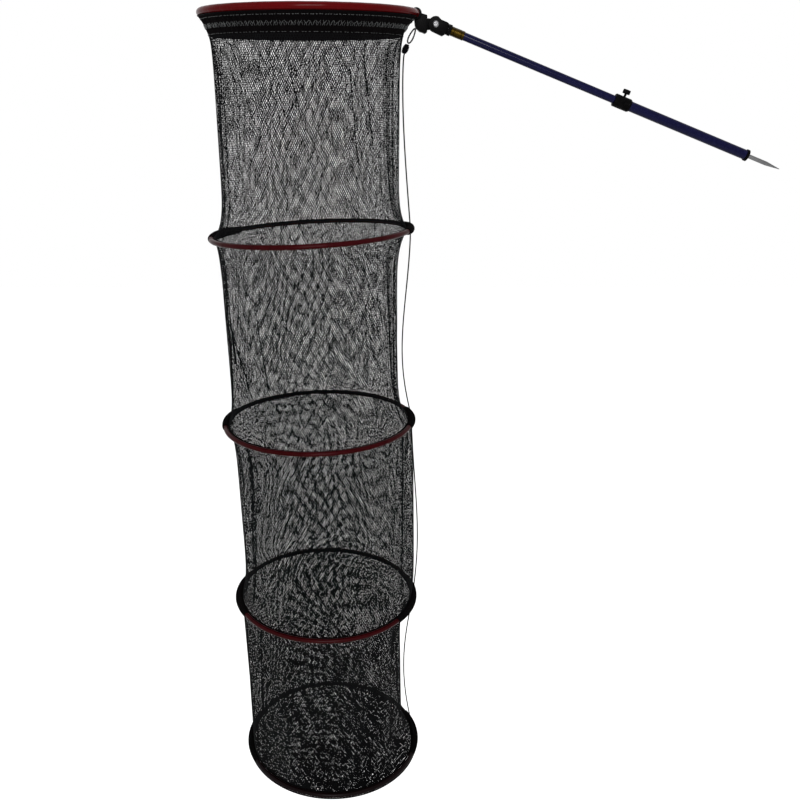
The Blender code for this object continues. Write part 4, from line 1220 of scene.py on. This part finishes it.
def make_pivot():
    """The pivot screw with its crossed recess, its washers and its nut."""
    face = EAR_OUTER + WASHER_THICKNESS + 2 * GAP
    tail = face + NUT_HEIGHT
    top = face + SCREW_HEAD_HEIGHT
    profile = [
        (0.0, top),
        (SCREW_HEAD * SCREW_FACE_SHARE, top),
        (SCREW_HEAD / 2, top - SCREW_HEAD_HEIGHT * SCREW_RIM_SHARE),
        (SCREW_HEAD / 2, face),
        (SCREW_SHANK / 2, face),
        (SCREW_SHANK / 2, -tail),
        (0.0, -tail),
    ]
    screw = lathe("screw", softened(profile, SCREW_EDGE))
    for size in ((RECESS_LENGTH, RECESS_WIDTH), (RECESS_WIDTH, RECESS_LENGTH)):
        half_x, low = size[0] / 2, top - RECESS_DEPTH
        outline = [(-half_x, low), (half_x, low), (half_x, top + OVERRUN), (-half_x, top + OVERRUN)]
        screw = cut(screw, plate("recess", outline, size[1], RECESS_WIDTH / 8, 2))
    data = moved(sharpened(screw), STICK_FRAME @ along_y())
    add_piece("screw", data, "tilt_head", STEEL, "bright_steel", ["pivot_screw"])
    for name, side in (("washer_front", 1), ("washer_back", -1)):
        low = side * (EAR_OUTER + GAP + WASHER_THICKNESS / 2) - WASHER_THICKNESS / 2
        high = low + WASHER_THICKNESS
        profile = [(PIVOT_BORE / 2, high), (WASHER / 2, high), (WASHER / 2, low), (PIVOT_BORE / 2, low)]
        data = moved(lathe(name, profile, 48, loop=True), STICK_FRAME @ along_y())
        add_piece(f"{name}_ring", data, "tilt_head", STEEL, "bright_steel", [name])
    outline = arc(NUT_ACROSS / 2, 0.0, 300.0, 5)
    nut = plate("nut", outline, NUT_HEIGHT, NUT_EDGE, 2)
    at = Matrix.Translation((0.0, face + NUT_HEIGHT / 2, 0.0))
    data = moved(nut, STICK_FRAME @ at)
    add_piece("nut", data, "tilt_head", STEEL, "bright_steel", ["pivot_nut"])


def stick_piece(name, profile, body, finish, slot, stands_for, edge=TURNED_EDGE, loop=False, steps=64):
    """A turned piece of the stick, in the stick's frame."""
    points = profile if loop else softened(profile, edge)
    data = moved(lathe(name, points, steps, loop), STICK_FRAME)
    return add_piece(name, data, body, finish, slot, stands_for)


def make_lock_nut():
    """The ribbed lock nut between the fork and the ferrule."""
    start = NECK_END + GAP
    stop = start + LOCK_NUT_LENGTH
    rim, hold = LOCK_NUT / 2, STUD / 2 + GAP
    low = rim - TOOTH_DEPTH
    outline = []
    for tooth in range(LOCK_NUT_TEETH):
        for share, radius in zip((0.0, *TOOTH_SHARES), (rim, rim, low, low)):
            angle = FULL_TURN * (tooth + share) / LOCK_NUT_TEETH
            outline.append((radius * math.cos(angle), radius * math.sin(angle)))
    shape = moved(plate("ribs", outline, LOCK_NUT_LENGTH, TOOTH_EDGE, 1), along_y(lift((start + stop) / 2)))
    hole = [(0.0, stop + OVERRUN), (hold, stop + OVERRUN), (hold, start - OVERRUN), (0.0, start - OVERRUN)]
    data = moved(sharpened(cut(shape, lathe("hole", hole, 32)), BEVEL_ANGLE), STICK_FRAME)
    return add_piece("ribbed_nut", data, "tilt_head", NYLON, "black_moulding", ["lock_nut"])


def make_ferrule():
    """The brass ferrule, with a rolled lip and two turned grooves."""
    outer, groove = FERRULE / 2, FERRULE_GROOVE
    web = FERRULE_LENGTH - FERRULE_SOCKET
    thread, socket = STUD / 2 + GAP, UPPER_TUBE / 2 + GAP
    profile = [(thread, FERRULE_TOP), (outer - groove, FERRULE_TOP), (outer, FERRULE_TOP + groove)]
    for share in GROOVE_SHARES:
        middle = FERRULE_TOP + FERRULE_LENGTH * share
        profile += [(outer, middle - groove), (outer - groove, middle), (outer, middle + groove)]
    profile += [(outer, FERRULE_END - groove), (outer - groove, FERRULE_END), (socket, FERRULE_END)]
    profile += [(socket, FERRULE_TOP + web), (thread, FERRULE_TOP + web)]
    return stick_piece("ferrule", profile[::-1], "upper_stick", BRASS, "brass", ["brass_ferrule"], loop=True)


def pipe(outside, inside, start, stop, edge=TUBE_EDGE):
    """The closed outline of a pipe with broken edges."""
    outer, inner = outside / 2, inside / 2
    return [
        (inner, stop),
        (outer - edge, stop),
        (outer, stop - edge),
        (outer, start + edge),
        (outer - edge, start),
        (inner, start),
    ]


def make_stick():
    """The two blue tubes, the clamp between them, the end plug and the spike."""
    start = FERRULE_TOP + FERRULE_LENGTH - FERRULE_SOCKET + GAP
    profile = pipe(UPPER_TUBE, UPPER_TUBE - 2 * UPPER_WALL, start, UPPER_TAIL)
    stick_piece("upper_pole", profile, "upper_stick", BLUE, "blue_tube", ["upper_tube"], loop=True, steps=96)
    stop = STICK_LENGTH - PLUG_FLANGE_THICKNESS - GAP
    profile = pipe(LOWER_TUBE, LOWER_TUBE - 2 * LOWER_WALL, LOWER_TOP, stop)
    stick_piece("lower_pole", profile, "lower_stick", BLUE, "blue_tube", ["lower_tube"], loop=True, steps=96)
    outer, lip, grip = CLAMP_DIAMETER / 2, CLAMP_LIP, UPPER_TUBE / 2 + GAP
    holder, clamp_end = LOWER_TUBE / 2 + GAP, CLAMP_TOP + CLAMP_LENGTH
    profile = [(grip, CLAMP_TOP), (outer - lip, CLAMP_TOP), (outer, CLAMP_TOP + lip)]
    for rib in range(CLAMP_RIBS):
        middle = clamp_end - CLAMP_RIB_PLACE + CLAMP_RIB_PITCH * rib
        profile += [(outer, middle - CLAMP_RIB), (outer - RIB_DEPTH, middle), (outer, middle + CLAMP_RIB)]
    profile += [(outer, clamp_end - 2 * lip), (outer - lip, clamp_end), (holder, clamp_end)]
    profile += [(holder, LOWER_TOP - GAP), (grip, LOWER_TOP - GAP)]
    stick_piece("clamp", profile[::-1], "lower_stick", NYLON, "black_moulding", ["stick_clamp"], loop=True)
    flange, shoulder = PLUG_FLANGE / 2, STICK_LENGTH - PLUG_FLANGE_THICKNESS
    stem, hold = LOWER_TUBE / 2 - LOWER_WALL - GAP, SPIKE / 2 + GAP
    profile = [(0.0, STICK_LENGTH - SPIKE_SEAT), (hold, STICK_LENGTH - SPIKE_SEAT), (hold, STICK_LENGTH)]
    profile += [(flange, STICK_LENGTH), (flange, shoulder), (stem, shoulder)]
    profile += [(stem, shoulder - PLUG_DEPTH), (0.0, shoulder - PLUG_DEPTH)]
    stick_piece("foot_plug", profile, "lower_stick", NYLON, "black_moulding", ["end_plug"])
    straight = STICK_LENGTH + SPIKE_STRAIGHT
    profile = [(0.0, straight + SPIKE_POINT), (SPIKE_TIP / 2, straight + SPIKE_POINT), (SPIKE / 2, straight)]
    profile += [(SPIKE / 2, STICK_LENGTH - SPIKE_SEAT + GAP), (0.0, STICK_LENGTH - SPIKE_SEAT + GAP)]
    stick_piece("spike", profile, "lower_stick", STEEL, "bright_steel", ["bank_spike"], SPIKE_EDGE, steps=40)


def make_thumb_screw():
    """The thumb screw in the clamp, with a scalloped head."""
    tip = UPPER_TUBE / 2 + GAP
    neck = CLAMP_DIAMETER / 2 + THUMB_STEM
    outline = []
    for step in range(THUMB_STEPS):
        angle = FULL_TURN * step / THUMB_STEPS
        radius = THUMB_HEAD / 2 - THUMB_SCALLOP * (0.5 - 0.5 * math.cos(THUMB_SCALLOPS * angle))
        outline.append((radius * math.cos(angle), radius * math.sin(angle)))
    knob = plate("knob", outline, THUMB_HEAD_LENGTH, THUMB_EDGE, 3)
    knob = moved(knob, along_y(lift(neck + THUMB_HEAD_LENGTH / 2)))
    thread = THUMB_THREAD / 2
    profile = [(0.0, neck + OVERRUN), (thread, neck + OVERRUN), (thread, tip), (0.0, tip)]
    stem = lathe("stem", softened(profile, TURNED_EDGE), 32)
    place = STICK_FRAME @ lift(CLAMP_TOP + THUMB_PLACE) @ Matrix.Rotation(math.radians(-90.0), 4, "Y")
    data = moved(sharpened(joined("thumb", [knob, stem])), place)
    add_piece("thumb_knob", data, "thumb_screw", NYLON, "black_moulding", ["thumb_screw"])


def dress_nodes():
    """Gives the small parts that are kept from the model their finishes."""
    plugs = [f"{body}_plug" for body in RING_BODIES]
    kept = ((STEEL, ["hoop_pin_front", "hoop_pin_back", "thread_stud"]), (NYLON, ["guide_bush", *plugs]))
    for finish, names in kept:
        for name in names:
            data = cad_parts[name].data
            data.materials.clear()
            data.materials.append(finish)


def background_ray(tree):
    """One where the camera, a glossy surface or a clear one looks at the background."""
    path = put(tree, "ShaderNodeLightPath").outputs
    seen = path["Is Camera Ray"]
    for name in ("Is Glossy Ray", "Is Transmission Ray"):
        seen = maths(tree, "MAXIMUM", seen, path[name])
    return seen


def make_world():
    """White for what the camera and reflections see, and a plain grey level as light."""
    world = bpy.data.worlds.new("studio")
    bpy.context.scene.world = world
    world.use_nodes = True
    tree = world.node_tree
    tree.nodes.clear()
    light = put(tree, "ShaderNodeBackground", {"Color": WHITE, "Strength": WORLD_LEVEL})
    white = put(tree, "ShaderNodeBackground", {"Color": WHITE, "Strength": 1.0})
    feeds = {"Fac": background_ray(tree), 1: light.outputs[0], 2: white.outputs[0]}
    put(tree, "ShaderNodeOutputWorld", {"Surface": put(tree, "ShaderNodeMixShader", feeds).outputs[0]})


def make_floor():
    """A plain pale floor below the net, white to the camera where no shadow falls."""
    made = bpy.data.materials.new("pale_floor")
    made.use_nodes = True
    tree = made.node_tree
    tree.nodes.clear()
    strength = maths(tree, "MULTIPLY", background_ray(tree), FLOOR_GLOW)
    glow = put(tree, "ShaderNodeEmission", {"Strength": strength})
    matt = put(tree, "ShaderNodeBsdfDiffuse", {"Color": FLOOR_TONE})
    both = put(tree, "ShaderNodeAddShader", {0: matt.outputs[0], 1: glow.outputs[0]})
    put(tree, "ShaderNodeOutputMaterial", {"Surface": both.outputs[0]})
    shape = bmesh.new()
    bmesh.ops.create_grid(shape, x_segments=8, y_segments=8, size=FLOOR_SIZE / 2)
    data = bpy.data.meshes.new("floor")
    shape.to_mesh(data)
    shape.free()
    data.materials.append(made)
    floor = bpy.data.objects.new("floor", data)
    floor.location = (HOOP_CENTRE.x, 0.0, CAD_BOX[0][2] - FLOOR_DROP)
    bpy.context.scene.collection.objects.link(floor)


def make_lights():
    """A soft square light in front, near the camera, and weaker ones from the left and above."""
    target = HOOP_CENTRE + Vector(LAMP_TARGET)
    for name, (place, size, power) in LAMPS.items():
        light = bpy.data.lights.new(name, "AREA")
        light.shape = "SQUARE"
        light.size = size
        light.energy = power
        lamp = bpy.data.objects.new(name, light)
        lamp.location = target + Vector(place)
        lamp.rotation_euler = (-Vector(place)).to_track_quat("-Z", "Y").to_euler()
        bpy.context.scene.collection.objects.link(lamp)


def make_camera():
    """The photograph's view: level with the hoop and pitched down the net."""
    camera = bpy.data.cameras.new("camera")
    camera.lens = CAMERA_LENS
    eye = bpy.data.objects.new("camera", camera)
    eye.location = HOOP_CENTRE + Vector(CAMERA_OFFSET)
    eye.rotation_euler = (math.radians(90.0 - CAMERA_PITCH), 0.0, 0.0)
    bpy.context.scene.collection.objects.link(eye)
    bpy.context.scene.camera = eye
    bpy.context.scene.view_settings.view_transform = "Standard"


def main():
    """Builds the whole scene."""
    make_camera()
    make_side_cord()
    make_world()
    make_floor()
    make_lights()
    make_hoop()
    make_collar()
    for index in range(len(RING_BODIES)):
        make_ring(index)
        make_net_section(index)
        make_hem(index)
    make_base_net()
    make_block()
    make_fork()
    make_pivot()
    make_lock_nut()
    make_ferrule()
    make_stick()
    make_thumb_screw()
    dress_nodes()


main()
